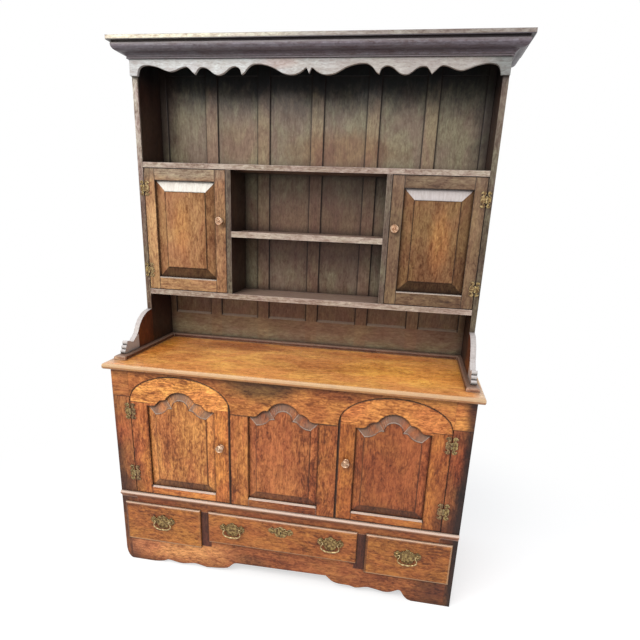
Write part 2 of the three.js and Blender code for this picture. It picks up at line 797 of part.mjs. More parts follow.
// Drawers: a lipped front with a moulded edge, and a box that slides on the runners
function lippedFront(x0, x1, z0, z1) {
  const inner = drawer.lip;
  const shape = new THREE.Shape(rectangle(x0, x1, z0, z1));
  const rounded = new THREE.ExtrudeGeometry(shape, {
    depth: drawer.lipBack + overrun,
    bevelEnabled: true,
    bevelThickness: drawer.lipReach - drawer.lipBack,
    bevelSize: inner,
    bevelOffset: 0,
    bevelSegments: drawer.ovoloSteps,
  });
  rounded.rotateX(Math.PI / 2);
  rounded.translate(0, overrun, 0);
  const lip = solid(rounded).subtract(
    box(
      x0 - inner * 2,
      x1 + inner * 2,
      -fit,
      drawer.lipReach + overrun * 2,
      z0 - inner * 2,
      z1 + inner * 2,
    ),
  );
  const plug = box(
    x0 + drawerGap,
    x1 - drawerGap,
    -fit * 2,
    drawer.front,
    z0 + drawerGap,
    z1 - drawerGap,
  );
  return lip.add(plug);
}

function drawerBoxBody(x0, x1, z0, z1) {
  const front = drawer.front + fit;
  const left = x0 + drawerGap;
  const right = x1 - drawerGap;
  const bottom = z0 + drawerGap;
  const top = z1 - drawerBox.headroom;
  const back = base.depth - base.back - drawerBox.backRoom;
  const shell = box(left, right, front, back, bottom, top);
  const inside = box(
    left + drawer.wall,
    right - drawer.wall,
    front - overrun,
    back - drawer.wall,
    bottom + drawer.floorUp + drawer.floor,
    top + overrun,
  );
  const under = box(
    left + drawer.wall,
    right - drawer.wall,
    front - overrun,
    back - drawer.wall,
    bottom - overrun,
    bottom + drawer.floorUp,
  );
  return shell.subtract(inside).subtract(under);
}

// Batwing plates. The shares are of half the width and of the height, up the right side from the foot.
const plateShares = [
  [0.13, -0.43],
  [0.28, -0.45],
  [0.4, -0.34],
  [0.46, -0.2],
  [0.58, -0.13],
  [0.7, -0.19],
  [0.86, -0.12],
  [1, 0.03],
  [0.96, 0.2],
  [0.84, 0.27],
  [0.74, 0.36],
  [0.58, 0.25],
  [0.46, 0.21],
  [0.38, 0.35],
  [0.22, 0.36],
  [0.12, 0.46],
];
function plateShape(width, height) {
  const at = (u, v) => new THREE.Vector2((u * width) / 2, v * height);
  const right = plateShares.map(([u, v]) => at(u, v));
  const left = plateShares.map(([u, v]) => at(-u, v)).reverse();
  const shape = new THREE.Shape();
  shape.moveTo(0, -height / 2);
  shape.splineThru(right);
  shape.lineTo(0, height / 2);
  shape.lineTo(left[0].x, left[0].y);
  shape.splineThru(left.slice(1));
  shape.lineTo(0, -height / 2);
  return shape;
}

// A plate in its own frame: its back on the wood at y = 0, its posts standing forward
function platePosts() {
  const length = post.reach;
  const profile = [
    [0, 0],
    [post.footRadius, 0],
    [post.footRadius, post.footHeight],
    [post.radius, post.footHeight * 2],
    [post.radius, length - post.radius],
    [post.radius * 0.7, length - post.radius * 0.3],
    [0, length],
  ].map(([r, h]) => new THREE.Vector2(r, h));
  const geometry = new THREE.LatheGeometry(profile, curveSteps);
  geometry.rotateX(Math.PI);
  return solid(geometry);
}

const bailDepth = pullPlate.thickness + (post.reach * 3) / 5;
const postInner = post.spacing / 2 - post.radius;
function bailBore(side) {
  const radius = bail.radius + bail.bore;
  const length = bail.pinLength + overrun;
  const geometry = new THREE.CylinderGeometry(radius, radius, length, curveSteps);
  geometry.rotateZ(Math.PI / 2);
  geometry.translate(side * (postInner + bail.pinLength - length / 2), -bailDepth, post.up);
  return solid(geometry);
}

function plateBody() {
  const shape = plateShape(pullPlate.width, pullPlate.height);
  let body = frontBoard(shape, -pullPlate.thickness, 0, splineSteps);
  for (const side of [-1, 1]) {
    const stud = shifted(platePosts(), (side * post.spacing) / 2, -pullPlate.thickness + fit, post.up);
    body = body.add(stud).subtract(bailBore(side));
  }
  return body;
}

// A swan-neck bail: its pins enter the posts from between them, and it swings on them. The shares are of
// the spread and of the drop.
const bailShares = [
  [0.94, -0.12],
  [0.93, -0.34],
  [1, -0.58],
  [0.88, -0.82],
  [0.5, -0.97],
];
function bailBody() {
  const bend = bailShares.map(([u, v]) => [u * bail.spread, v * bail.drop]);
  const half = [
    [postInner + bail.pinLength - fit, 0],
    [postInner + bail.pinLength / 3, 0],
    [postInner - fit, 0],
    [postInner - bail.radius / 2, -bail.radius / 4],
    ...bend,
  ];
  const points = [...half, [0, -bail.drop], ...half.map(([x, z]) => [-x, z]).reverse()];
  const path = new THREE.CatmullRomCurve3(
    points.map(([x, z]) => new THREE.Vector3(x, 0, z)),
    false,
    'catmullrom',
    0.5,
  );
  const section = new THREE.Shape();
  section.absarc(0, 0, bail.radius, 0, 2 * Math.PI, false);
  const geometry = new THREE.ExtrudeGeometry(section, {
    steps: Math.round(points.length * 1.4),
    extrudePath: path,
    bevelEnabled: false,
    curveSegments: curveSteps / 2,
  });
  return solid(geometry);
}

const outerPull = (dividerOuterFace + legInner) / 2;
const centrePull = dividerInner * pullPlace.centreShare;
const drawers = [
  { name: 'left_drawer', x0: -legInner, x1: -dividerOuterFace, z0: apron.height, pulls: [-outerPull] },
  {
    name: 'centre_drawer',
    x0: -dividerInner,
    x1: dividerInner,
    z0: centreDrawerFoot,
    pulls: [-centrePull, centrePull],
  },
  { name: 'right_drawer', x0: dividerOuterFace, x1: legInner, z0: apron.height, pulls: [outerPull] },
];
const lipFace = -drawer.lipReach;

function lockPlateBody() {
  const shape = plateShape(lockPlate.width, lockPlate.height);
  const hole = new THREE.Path();
  const { radius, slot, drop } = keyhole;
  const meet = Math.asin(slot / 2 / radius);
  hole.moveTo(slot / 2, -drop);
  hole.lineTo(-slot / 2, -drop);
  hole.absarc(0, 0, radius, -Math.PI / 2 - meet, -Math.PI / 2 + meet, true);
  hole.lineTo(slot / 2, -drop);
  const plate = frontBoard(shape, lipFace - lockPlate.thickness, lipFace + fit, splineSteps);
  const bored = new THREE.Shape(hole.getPoints(splineSteps));
  return [plate, frontBoard(bored, lipFace - overrun, lipFace + keyhole.depth)];
}

for (const { name, x0, x1, z0, pulls } of drawers) {
  const middle = (z0 + waist.bottom) / 2;
  const paired = pulls.length > 1;
  let front = lippedFront(x0, x1, z0, waist.bottom);
  if (paired) {
    const [plate, bore] = lockPlateBody().map((body) => shifted(body, 0, 0, middle + lockPlate.rise));
    front = front.add(plate).subtract(bore);
  }
  add(`${name}_front`, front, baseOak);
  add(`${name}_box`, drawerBoxBody(x0, x1, z0, waist.bottom), drawerOak);
  pulls.forEach((x, i) => {
    const up = middle + (paired ? pullPlace.centreRise : pullPlace.outerRise);
    const label = paired ? `${name}_${['left', 'right'][i]}` : name;
    add(`${label}_plate`, plateBody(), brass, x, lipFace - fit, up);
    add(`${label}_bail`, bailBody(), brass, x, lipFace - fit - bailDepth, up + post.up);
  });
}

// Shoe: a rounded moulding on the worktop, along both sides and the back, that the rack stands on
function shoeBody() {
  const inner = rackInner - shoe.inside;
  const outer = rackHalf + shoe.outside;
  const { round, front } = shoe;
  const back = base.depth;
  const inBack = back - shoe.backDepth;
  const shape = new THREE.Shape();
  shape.moveTo(outer - round, front + round);
  shape.lineTo(outer - round, back - round);
  shape.lineTo(round - outer, back - round);
  shape.lineTo(round - outer, front + round);
  shape.lineTo(-inner - round, front + round);
  shape.lineTo(-inner - round, inBack + round);
  shape.lineTo(inner + round, inBack + round);
  shape.lineTo(inner + round, front + round);
  shape.lineTo(outer - round, front + round);
  const bottom = worktopTop - round * 2;
  const body = planBoard(shape, bottom, worktopTop + shoe.height, round, shoe.roundSteps);
  const below = box(-outer * 2, outer * 2, -back, back * 2, bottom - overrun, worktopTop + fit);
  return body.subtract(below);
}
add('rack_shoe', shoeBody(), rackOak);

// Sides of the rack: tall boards that sweep forward at the foot, down to three small beads
const wingShares = [
  [0.81, 0.95],
  [0.64, 0.8],
  [0.53, 0.61],
  [0.46, 0.43],
  [0.345, 0.3],
];
function rackSide() {
  const deep = rack.front - wing.nose;
  const bottom = rackFoot;
  const shape = new THREE.Shape();
  shape.moveTo(wingBead.front, bottom);
  shape.lineTo(base.depth, bottom);
  shape.lineTo(base.depth, rackTop - fit);
  shape.lineTo(rack.front, rackTop - fit);
  shape.lineTo(rack.front, bottom + wing.rise);
  const sweep = wingShares.map(([u, v]) => new THREE.Vector2(wing.nose + u * deep, bottom + v * wing.rise));
  shape.splineThru([...sweep, new THREE.Vector2(wing.tipBack, bottom + wing.tipUp)]);
  shape.lineTo(wingBead.back, bottom + wingBead.up);
  const stepY = (wingBead.front - wingBead.back) / wingBead.count;
  const stepZ = -wingBead.up / wingBead.count;
  const radius = Math.hypot(stepY, stepZ) / 2;
  const lean = Math.atan2(-stepZ, -stepY);
  for (let i = 0; i < wingBead.count; i += 1) {
    const y = wingBead.back + stepY * (i + 0.5);
    const z = bottom + wingBead.up + stepZ * (i + 0.5);
    shape.absarc(y, z, radius, lean, lean + Math.PI, false);
  }
  let body = sideBoard(shape, rackInner, rackHalf, splineSteps + 1);
  for (const up of [rackUpperHinge, rackLowerHinge]) {
    const ear = frameLeaf(rackHinge.width, rackHinge.height);
    body = body.add(shifted(ear, rackHingeAxis, rackHingeFront, up));
  }
  return body;
}
addPair('rack_side', rackSide(), rackOak);

// Shelves, with a groove near the back where plates stand
function shelfBody(half, top, thickness) {
  const groovePlace = rackBackFace - shelfGroove.back;
  const shape = new THREE.Shape();
  shape.moveTo(rack.front, top - thickness);
  shape.lineTo(rackBackFace - fit, top - thickness);
  shape.lineTo(rackBackFace - fit, top);
  shape.lineTo(groovePlace + shelfGroove.width / 2, top);
  shape.lineTo(groovePlace, top - shelfGroove.depth);
  shape.lineTo(groovePlace - shelfGroove.width / 2, top);
  shape.lineTo(rack.front, top);
  shape.lineTo(rack.front, top - thickness);
  return sideBoard(shape, -half, half);
}
add('upper_shelf', shelfBody(rackInner - fit, shelf.upper, shelf.upperThick), rackOak);
add('middle_shelf', shelfBody(dividerHalf - fit, shelf.middle, shelf.middleThick), rackOak);
add('lower_shelf', shelfBody(rackInner - fit, shelf.lower, shelf.thickness), rackOak);

const dividerBoard = box(
  dividerHalf,
  dividerOuter,
  rack.front,
  rackBackFace - fit,
  shelf.lower + fit,
  cupboardTop - fit,
);
addPair('rack_divider', dividerBoard, rackOak);

// Back of the rack: a frame with tall sunk panels
function rackBackBody() {
  const half = rackInner - fit;
  let body = box(-half, half, rackBackFace, base.depth, rackFoot, rackTop - fit);
  const low = rackFoot + rackBack.footRail;
  const high = rackTop - rackBack.headRail;
  const bays = rackBack.muntins + 1;
  for (let i = 0; i < bays; i += 1) {
    const first = (i - bays / 2) * rackBack.pitch + rackBack.muntin / 2;
    const x0 = i === 0 ? -half + rackBack.endStile : first;
    const last = (i + 1 - bays / 2) * rackBack.pitch - rackBack.muntin / 2;
    const x1 = i === bays - 1 ? half - rackBack.endStile : last;
    const sunk = rectangle(x0, x1, low + rackBackPanel.chamfer, high);
    const mouth = rectangle(x0, x1, low, high);
    const face = rackBackFace;
    const pocket = loft([
      { points: mouth, depth: face - overrun },
      { points: mouth, depth: face },
      { points: sunk, depth: face + rackBackPanel.sink },
    ]);
    body = body.subtract(pocket);
  }
  return body;
}
add('rack_back', rackBackBody(), rackOak);

// Doors of the rack: square frames round raised panels
const rackDoorInner = dividerOuter + doorGap;
const rackDoorOuter = rackInner - doorGap;
const lightInner = rackDoorInner + rackDoor.lockStile;
const lightOuter = rackDoorOuter - rackDoor.hingeStile;
const lightFoot = rackDoorFoot + rackDoor.bottomRail;
const lightHead = rackDoorHead - rackDoor.topRail;
function grown(margin) {
  return rectangle(lightInner - margin, lightOuter + margin, lightFoot - margin, lightHead + margin);
}
function rackDoorFrame() {
  const outer = new THREE.Shape(rectangle(rackDoorInner, rackDoorOuter, rackDoorFoot, rackDoorHead));
  outer.holes.push(new THREE.Path(grown(0)));
  const [lip, back] = grooveDepths(rackDoor.bevel, rack.front);
  const slot = frontBoard(new THREE.Shape(grown(panel.tongue + panel.room)), lip, back);
  return frontBoard(outer, rack.front, rack.front + rackDoor.thickness).subtract(slot);
}
addPair('rack_door_frame', rackDoorFrame(), rackOak);
addPair('rack_door_panel', raisedPanel(grown(-rackDoor.bevel), grown(panel.tongue), rack.front), rackOak);
const rackLeaf = mirrored(doorLeaf(hinge.width, rackHinge.height));
addPair('rack_door_upper_hinge', rackLeaf, brass, rackHingeAxis, rackHingeFront, rackUpperHinge);
addPair('rack_door_lower_hinge', rackLeaf, brass, rackHingeAxis, rackHingeFront, rackLowerHinge);
const rackKnobPlace = rackDoorInner + rackKnob.inset;
const rackKnobUp = rackDoorFoot + (rackDoorHead - rackDoorFoot) * rackKnob.upShare;
addPair('rack_door_knob', knobBody(), darkBrass, rackKnobPlace, rack.front - fit, rackKnobUp);

// Cornice: a moulding mitred round three sides, with the top board on it. Each ring is its plan at one
// height. The shares are of the reach and of the height, from the wall upwards.
const corniceShares = [
  [0.06, 0],
  [0.12, 0.01],
  [0.12, 0.06],
  [0.08, 0.08],
  [0.12, 0.14],
  [0.18, 0.2],
  [0.26, 0.25],
  [0.32, 0.275],
  [0.46, 0.285],
  [0.6, 0.315],
  [0.71, 0.38],
  [0.78, 0.47],
  [0.81, 0.57],
  [0.8, 0.67],
  [0.74, 0.72],
  [0.74, 0.75],
  [0.78, 0.765],
  [1, 0.77],
  [1, 1],
];
function corniceBody() {
  const { height } = cornice;
  const onTop = (across, deep, depth) => [across, deep, cornice.top - depth];
  const front = rack.front - frieze.thickness - fit * 2;
  const rings = corniceShares
    .map(([u, v]) => {
      const reach = u * cornice.reach;
      const points = rectangle(-rackHalf - reach, rackHalf + reach, front - reach, base.depth);
      return { points, depth: height - v * height };
    })
    .reverse();
  const block = loft(rings, onTop);
  const inside = box(
    -rackHalf - fit,
    rackHalf + fit,
    front,
    base.depth + overrun,
    corniceBottom - overrun,
    cornice.top - cornice.cap,
  );
  return block.subtract(inside);
}
add('cornice', corniceBody(), rackOak);

// Frieze: a waved board under the cornice, the same on both sides of the middle. Each stretch runs from
// one hanging point to the next, in shares of the half width and of the drop below the cornice.
const friezeShares = [
  [
    [0.01, 0.62],
    [0.018, 0.55],
    [0.037, 0.73],
    [0.064, 0.89],
    [0.1, 0.95],
    [0.143, 0.84],
    [0.188, 0.55],
    [0.234, 0.37],
    [0.274, 0.31],
    [0.305, 0.35],
    [0.331, 0.56],
    [0.348, 0.81],
    [0.363, 0.93],
  ],
  [
    [0.371, 0.64],
    [0.386, 0.5],
    [0.405, 0.45],
    [0.431, 0.56],
    [0.463, 0.85],
    [0.489, 0.95],
    [0.515, 0.9],
    [0.554, 0.57],
    [0.583, 0.49],
    [0.603, 0.57],
    [0.625, 0.92],
  ],
  [
    [0.639, 0.76],
    [0.662, 0.51],
    [0.68, 0.45],
    [0.71, 0.54],
    [0.739, 0.68],
    [0.768, 0.74],
    [0.796, 0.66],
    [0.832, 0.49],
    [0.868, 0.39],
    [0.896, 0.35],
    [0.925, 0.39],
    [0.945, 0.55],
    [0.954, 0.82],
    [0.957, 1],
  ],
];
function friezeBody() {
  const half = rackHalf;
  const at = ([u, v], side) => new THREE.Vector2(side * u * half, corniceBottom - v * frieze.drop);
  const middle = [0, 0.87];
  const top = rackTop - fit;
  const shape = new THREE.Shape();
  shape.moveTo(0, corniceBottom - middle[1] * frieze.drop);
  for (const stretch of friezeShares) shape.splineThru(stretch.map((share) => at(share, 1)));
  shape.lineTo(half, corniceBottom - frieze.drop);
  shape.lineTo(half, top);
  shape.lineTo(-half, top);
  shape.lineTo(-half, corniceBottom - frieze.drop);
  const hanging = [[middle], ...friezeShares].map((stretch) => stretch[stretch.length - 1]);
  const back = [...friezeShares].reverse();
  const first = at(hanging[hanging.length - 1], -1);
  shape.lineTo(first.x, first.y);
  back.forEach((stretch, i) => {
    const inner = stretch.slice(0, -1).map((share) => at(share, -1)).reverse();
    shape.splineThru([...inner, at(hanging[hanging.length - 2 - i], -1)]);
  });
  const back0 = rack.front - fit;
  return frontBoard(shape, back0 - frieze.thickness, back0, splineSteps);
}
add('frieze', friezeBody(), rackOak);

export default dresser;
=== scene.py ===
"""The looks of a Welsh dresser, built round its CAD frame. Units are metres, +Z up, the front faces -Y."""

import math

import bpy
from mathutils import Matrix, Vector

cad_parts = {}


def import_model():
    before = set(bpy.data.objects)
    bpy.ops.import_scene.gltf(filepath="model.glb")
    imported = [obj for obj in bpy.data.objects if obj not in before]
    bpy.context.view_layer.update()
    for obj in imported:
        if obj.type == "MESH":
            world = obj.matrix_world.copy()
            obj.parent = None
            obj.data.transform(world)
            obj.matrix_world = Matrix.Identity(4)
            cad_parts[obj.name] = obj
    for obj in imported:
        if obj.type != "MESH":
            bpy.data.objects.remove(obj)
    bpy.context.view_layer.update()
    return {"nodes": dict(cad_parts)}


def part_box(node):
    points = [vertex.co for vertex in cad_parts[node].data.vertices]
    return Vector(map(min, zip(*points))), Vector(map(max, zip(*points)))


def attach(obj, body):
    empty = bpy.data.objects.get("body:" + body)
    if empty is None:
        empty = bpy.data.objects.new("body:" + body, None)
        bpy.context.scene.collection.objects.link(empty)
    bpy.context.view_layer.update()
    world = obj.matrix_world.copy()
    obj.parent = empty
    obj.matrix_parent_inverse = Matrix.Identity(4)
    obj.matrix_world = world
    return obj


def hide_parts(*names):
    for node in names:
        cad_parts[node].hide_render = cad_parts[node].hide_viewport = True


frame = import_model()
nodes = frame["nodes"]
scene = bpy.context.scene


def tint(red, green, blue):
    """A colour written as it shows on a screen, 0 to 255, turned into the linear one that shaders take."""
    shares = [value / 255 for value in (red, green, blue)]
    return tuple(v / 12.92 if v <= 0.04045 else ((v + 0.055) / 1.055) ** 2.4 for v in shares)


class Shader:
    """A node tree in the making, of a material or a world. Sockets and plain values mix as inputs."""

    def __init__(self, owner, output):
        owner.use_nodes = True
        self.owner, self.tree = owner, owner.node_tree
        self.tree.nodes.clear()
        self.out = self.tree.nodes.new(output)

    def node(self, kind, inputs=None, **settings):
        made = self.tree.nodes.new("ShaderNode" + kind)
        for key, value in settings.items():
            setattr(made, key, value)
        for key, value in (inputs or {}).items():
            self.put(made.inputs[key], value)
        return made

    def put(self, socket, value):
        if isinstance(value, bpy.types.NodeSocket):
            self.tree.links.new(value, socket)
        elif socket.type == "RGBA" and len(value) == 3:
            socket.default_value = (*value, 1)
        else:
            socket.default_value = value

    def place(self):
        return self.node("TexCoord").outputs["Object"]

    def normal(self):
        return self.node("NewGeometry").outputs["Normal"]

    def rounded(self, radius, samples):
        """The normal as if the arrises were rounded."""
        return self.node("Bevel", {"Radius": radius}, samples=samples).outputs[0]

    def open_share(self, reach, samples):
        """1 on an open face, less in a corner."""
        return self.node("AmbientOcclusion", {"Distance": reach}, samples=samples).outputs["AO"]

    def math(self, operation, a, b=0.0, c=0.0, clamp=False):
        made = self.node("Math", operation=operation, use_clamp=clamp)
        for socket, value in zip(made.inputs, (a, b, c)):
            self.put(socket, value)
        return made.outputs[0]

    def vector(self, operation, a, b=(0, 0, 0)):
        made = self.node("VectorMath", operation=operation)
        self.put(made.inputs[0], a)
        self.put(made.inputs[1], b)
        return made.outputs["Value" if operation in ("LENGTH", "DOT_PRODUCT") else "Vector"]

    def mix(self, share, a, b):
        made = self.node("Mix", data_type="RGBA")
        self.put(made.inputs[0], share)
        self.put(made.inputs[6], a)
        self.put(made.inputs[7], b)
        return made.outputs[2]

    def mix_vector(self, share, a, b):
        made = self.node("Mix", data_type="VECTOR")
        self.put(made.inputs[0], share)
        self.put(made.inputs[4], a)
        self.put(made.inputs[5], b)
        return made.outputs[1]

    def noise(self, place, scale, detail=2.0, roughness=0.5, distortion=0.0):
        made = self.node(
            "TexNoise",
            {"Vector": place, "Scale": scale, "Detail": detail, "Roughness": roughness, "Distortion": distortion},
        )
        return made.outputs["Fac"]

    def stretched(self, place, scales, *character):
        """Noise with its own scale along each coordinate; character is detail, roughness, distortion."""
        return self.noise(self.vector("MULTIPLY", place, scales), 1.0, *character)

    def span(self, value, low, high, to_low=0.0, to_high=1.0):
        made = self.node(
            "MapRange",
            {"Value": value, "From Min": low, "From Max": high, "To Min": to_low, "To Max": to_high},
            interpolation_type="SMOOTHSTEP",
        )
        return made.outputs[0]

    def ramp(self, value, stops):
        made = self.node("ValToRGB", {0: value})
        marks = made.color_ramp.elements
        while len(marks) < len(stops):
            marks.new(0.5)
        for mark, (where, colour) in zip(marks, stops):
            mark.position, mark.color = where, (*colour, 1)
        return made.outputs[0]

    def split(self, place):
        made = self.node("SeparateXYZ", {0: place})
        return made.outputs[0], made.outputs[1], made.outputs[2]

    def join(self, x, y, z):
        return self.node("CombineXYZ", {0: x, 1: y, 2: z}).outputs[0]

    def finish(self, surface):
        self.tree.links.new(surface, self.out.inputs["Surface"])
        return self.owner


def material_shader(name):
    return Shader(bpy.data.materials.new(name), "ShaderNodeOutputMaterial")


# Conditions: a condition is a list of ranges (coordinate, low, high) that a point lies in all of
FAR = 3.0


def above(z):
    return ("z", z, FAR)


def below(z):
    return ("z", 0, z)


def before(y):
    return ("y", -FAR, y)


def behind(y):
    return ("y", y, FAR)


def on_side(sign, near, far):
    """From near to far away from the middle, on the side that sign gives."""
    return ("x", *sorted((sign * near, sign * far)))


def inside(s, parts, condition):
    """1 where the condition holds."""
    share = None
    for which, low, high in condition:
        one = s.math("COMPARE", parts[which], (low + high) / 2, (high - low) / 2)
        share = one if share is None else s.math("MULTIPLY", share, one)
    return share


# Oak: how its tones depart from its middle colour, halved, from the darkest to the palest
TONES = [
    (0.18, (0.14, 0.105, 0.095)),
    (0.36, (0.33, 0.285, 0.265)),
    (0.5, (0.5, 0.5, 0.5)),
    (0.64, (0.67, 0.72, 0.72)),
    (0.84, (0.86, 0.98, 1.0)),
]
HONEY, RUSSET = (1.12, 1.04, 0.8), (1.0, 0.78, 0.68)
# Dark brown of pores, joints and grime, and of painted shade in corners, in gaps and along the arrises beside them
DARK_GRIME_AND_SHADE = tint(30, 18, 13)

# The coordinates across, across and along the grain, by the axis that the grain runs in. All scales
# below are in that order, in cycles per metre.
GRAIN_ORDER = {"x": "yzx", "y": "xzy", "z": "xyz"}
WANDER_SCALES, WANDER_DETAIL, WANDER_REACH = (8, 8, 3), 3.0, (0.045, 0.045, 0.0)
PITH, PITH_DRIFT, RINGS_PER_METRE, RING_SHARE = (1.9, 2.1, 0), (1, 1, 0.05), 95.0, 0.22
PORE_SCALES, HUE_SCALES, BROAD_SCALES = (900, 900, 45), (11, 11, 6), (5, 5, 2.4)
BLOTCH_SCALES, STREAK_SCALES, FLECK_SCALES = (26, 26, 12), (170, 170, 16), (120, 120, 52)
BLOTCH_SHARE, STREAK_SHARE, FLECK_SHARE, BROAD_SHARE = 0.78, 0.5, 1.05, 0.55

ARRIS_RADIUS = 0.0022
CORNER_REACH = 0.04


def along_grain(s, parts, axis, seed):
    """Coordinates along the grain of one board, moved by its seed so that no two boards are alike."""
    shift = [(seed * k) % 5.0 + 0.7 for k in (1.37, 2.11, 3.73)]
    return s.vector("ADD", s.join(*(parts[which] for which in GRAIN_ORDER[axis])), tuple(shift))


def wood(name, middle, axis, seed, zones=(), spots=(), boards=(), lines=(), washes=(), top_dust_and_sheen=None, arris_wear_light_and_shade=None,
         rim_highlight=None, lean_light_and_shade=None, edge_reach=0.004, edge_turn=(0.01, 0.12), edge_where=None, line_half=0.0022,
         contrast=1.0, warmth=1.0, grime_and_shade=1.0, gloss=0.3, rough=0.42, brass_when=None):
    """One piece of old waxed oak. middle is its usual colour, and axis is the way its grain runs.

    zones are (colour, condition), and spots are soft (centre, size, colour, strength).
    boards are (axis, condition) where the grain runs another way, and lines are the joints between them
    (coordinate, place, condition), line_half wide on each side.
    washes are (colour, condition, strength) over the figure.
    top is (colour, least slope, full slope, strength) for what looks up, painted as dust and sheen,
    and rim is its painted highlight along arrises.
    edge is (colour, strength) for the painted wear, highlight and shade along the other arrises: edge_reach
    is how wide they are, edge_turn how much the surface turns there, and edge_where a condition for them.
    lean is how much lighter or darker the faces that look left, right and down are painted, as painted light
    and shade.
    brass_when is the condition for the brass that is one solid with the wood.
    """
    s = material_shader(name)
    place = s.place()
    parts = dict(zip("xyz", s.split(place)))

    grain = along_grain(s, parts, axis, seed)
    for number, (which, condition) in enumerate(boards, 1):
        board = along_grain(s, parts, which, seed + number * 1.7)
        grain = s.mix_vector(inside(s, parts, condition), grain, board)

    # Figure: a slow wander bends all but the pores; then come rings, blotches, streaks and ray flecks
    wander = s.node(
        "TexNoise",
        {"Vector": s.vector("MULTIPLY", grain, WANDER_SCALES), "Scale": 1.0, "Detail": WANDER_DETAIL},
    ).outputs[1]
    bend = s.vector("MULTIPLY", s.vector("SUBTRACT", wander, (0.5, 0.5, 0.5)), WANDER_REACH)
    bent = s.vector("ADD", grain, bend)
    from_pith = s.vector("LENGTH", s.vector("MULTIPLY", s.vector("SUBTRACT", bent, PITH), PITH_DRIFT))
    ring = s.noise(s.join(s.math("MULTIPLY", from_pith, RINGS_PER_METRE), 0.5, 0.5), 1.0, 2.0, 0.6)
    blotch = s.stretched(bent, BLOTCH_SCALES, 5.0, 0.7, 0.3)
    streak = s.stretched(bent, STREAK_SCALES, 3.0, 0.55)
    fleck = s.stretched(bent, FLECK_SCALES, 3.0, 0.65, 0.8)
    broad = s.stretched(bent, BROAD_SCALES, 2.0, 0.5)
    pore = s.stretched(grain, PORE_SCALES, 2.0, 0.6)
    depth = 0.0
    for pattern, share in ((blotch, BLOTCH_SHARE), (streak, STREAK_SHARE), (fleck, FLECK_SHARE),
                           (ring, RING_SHARE), (broad, BROAD_SHARE)):
        depth = s.math("MULTIPLY_ADD", s.math("SUBTRACT", pattern, 0.5), share * contrast, depth)
    gain = s.ramp(s.math("ADD", depth, 0.5, clamp=True), TONES)

    # The middle colour, which changes by zones, by soft spots and between honey and russet
    colour = middle
    for zone, condition in zones:
        colour = s.mix(inside(s, parts, condition), colour, zone)
    for centre, size, stain, strength in spots:
        away = s.vector("LENGTH", s.vector("DIVIDE", s.vector("SUBTRACT", place, centre), size))
        ragged = s.math("MULTIPLY_ADD", s.math("SUBTRACT", blotch, 0.5), 0.7, away)
        colour = s.mix(s.span(ragged, 0.3, 1.05, strength, 0.0), colour, stain)
    hue = s.stretched(bent, HUE_SCALES, 3.0, 0.6, 0.6)
    swing = s.mix(s.span(hue, 0.36, 0.64), RUSSET, HONEY)
    colour = s.vector("MULTIPLY", s.mix(warmth, (1, 1, 1), swing), colour)
    colour = s.vector("MULTIPLY", s.vector("MULTIPLY", colour, gain), (2, 2, 2))
    colour = s.mix(s.math("MULTIPLY", s.span(pore, 0.56, 0.68), 0.4), colour, DARK_GRIME_AND_SHADE)
    for wash, condition, strength in washes:
        colour = s.mix(s.math("MULTIPLY", inside(s, parts, condition), strength), colour, wash)

    # Painted light and shade: faces that lean are painted lighter or darker by the way they face, arrises get
    # painted wear, highlight and shade, and what looks up is painted with dust and sheen
    soft = s.rounded(ARRIS_RADIUS, 4)
    flat = s.normal()
    across, _, up = s.split(flat)
    scuff = s.noise(place, 45.0, 3.0, 0.6)
    if lean_light_and_shade:
        level = 1.0
        for value, sign, gained in ((across, -1, lean_light_and_shade[0]), (across, 1, lean_light_and_shade[1]), (up, -1, lean_light_and_shade[2])):
            level = s.math("MULTIPLY", s.span(value, sign * 0.04, sign * 0.12, 1.0, gained), level)
        colour = s.vector("MULTIPLY", colour, s.join(level, level, level))
    if arris_wear_light_and_shade or rim_highlight:
        wide = s.rounded(edge_reach, 6)
        turn = s.span(s.math("SUBTRACT", 1.0, s.vector("DOT_PRODUCT", wide, flat)), *edge_turn)
        if edge_where:
            turn = s.math("MULTIPLY", turn, inside(s, parts, edge_where))
    if arris_wear_light_and_shade:
        arris_colour, strength = arris_wear_light_and_shade
        wear_light_and_shade_share = s.math("MULTIPLY", turn, s.span(scuff, 0.3, 0.55, strength * 0.6, strength))
        colour = s.mix(wear_light_and_shade_share, colour, arris_colour)
    if top_dust_and_sheen:
        pale, low, high, strength = top_dust_and_sheen
        raised = s.span(up, low, high)
        dust_and_sheen = s.math("MULTIPLY", raised, s.span(streak, 0.3, 0.7, strength * 0.8, strength))
        colour = s.mix(dust_and_sheen, colour, pale)
        if rim_highlight:
            colour = s.mix(s.math("MULTIPLY", s.math("MULTIPLY", turn, raised), 0.9), colour, rim_highlight)

    # Corners are darkened, as grime and painted shade, and joints are dark lines
    closed = s.math("SUBTRACT", 1.0, s.open_share(CORNER_REACH, 5))
    ragged = s.math("MULTIPLY_ADD", s.math("SUBTRACT", blotch, 0.5), 0.3, closed)
    grime_and_shade_share = s.math("MULTIPLY", s.span(ragged, 0.04, 0.62), 0.86 * grime_and_shade, clamp=True)
    colour = s.mix(grime_and_shade_share, colour, DARK_GRIME_AND_SHADE)
    line = None
    for which, where, condition in lines:
        away = s.math("ABSOLUTE", s.math("SUBTRACT", parts[which], where))
        one = s.span(away, line_half * 0.3, line_half, 1.0, 0.0)
        if condition:
            one = s.math("MULTIPLY", one, inside(s, parts, condition))
        line = one if line is None else s.math("MAXIMUM", line, one)
    if line is not None:
        colour = s.mix(s.math("MULTIPLY", line, 0.8), colour, DARK_GRIME_AND_SHADE)

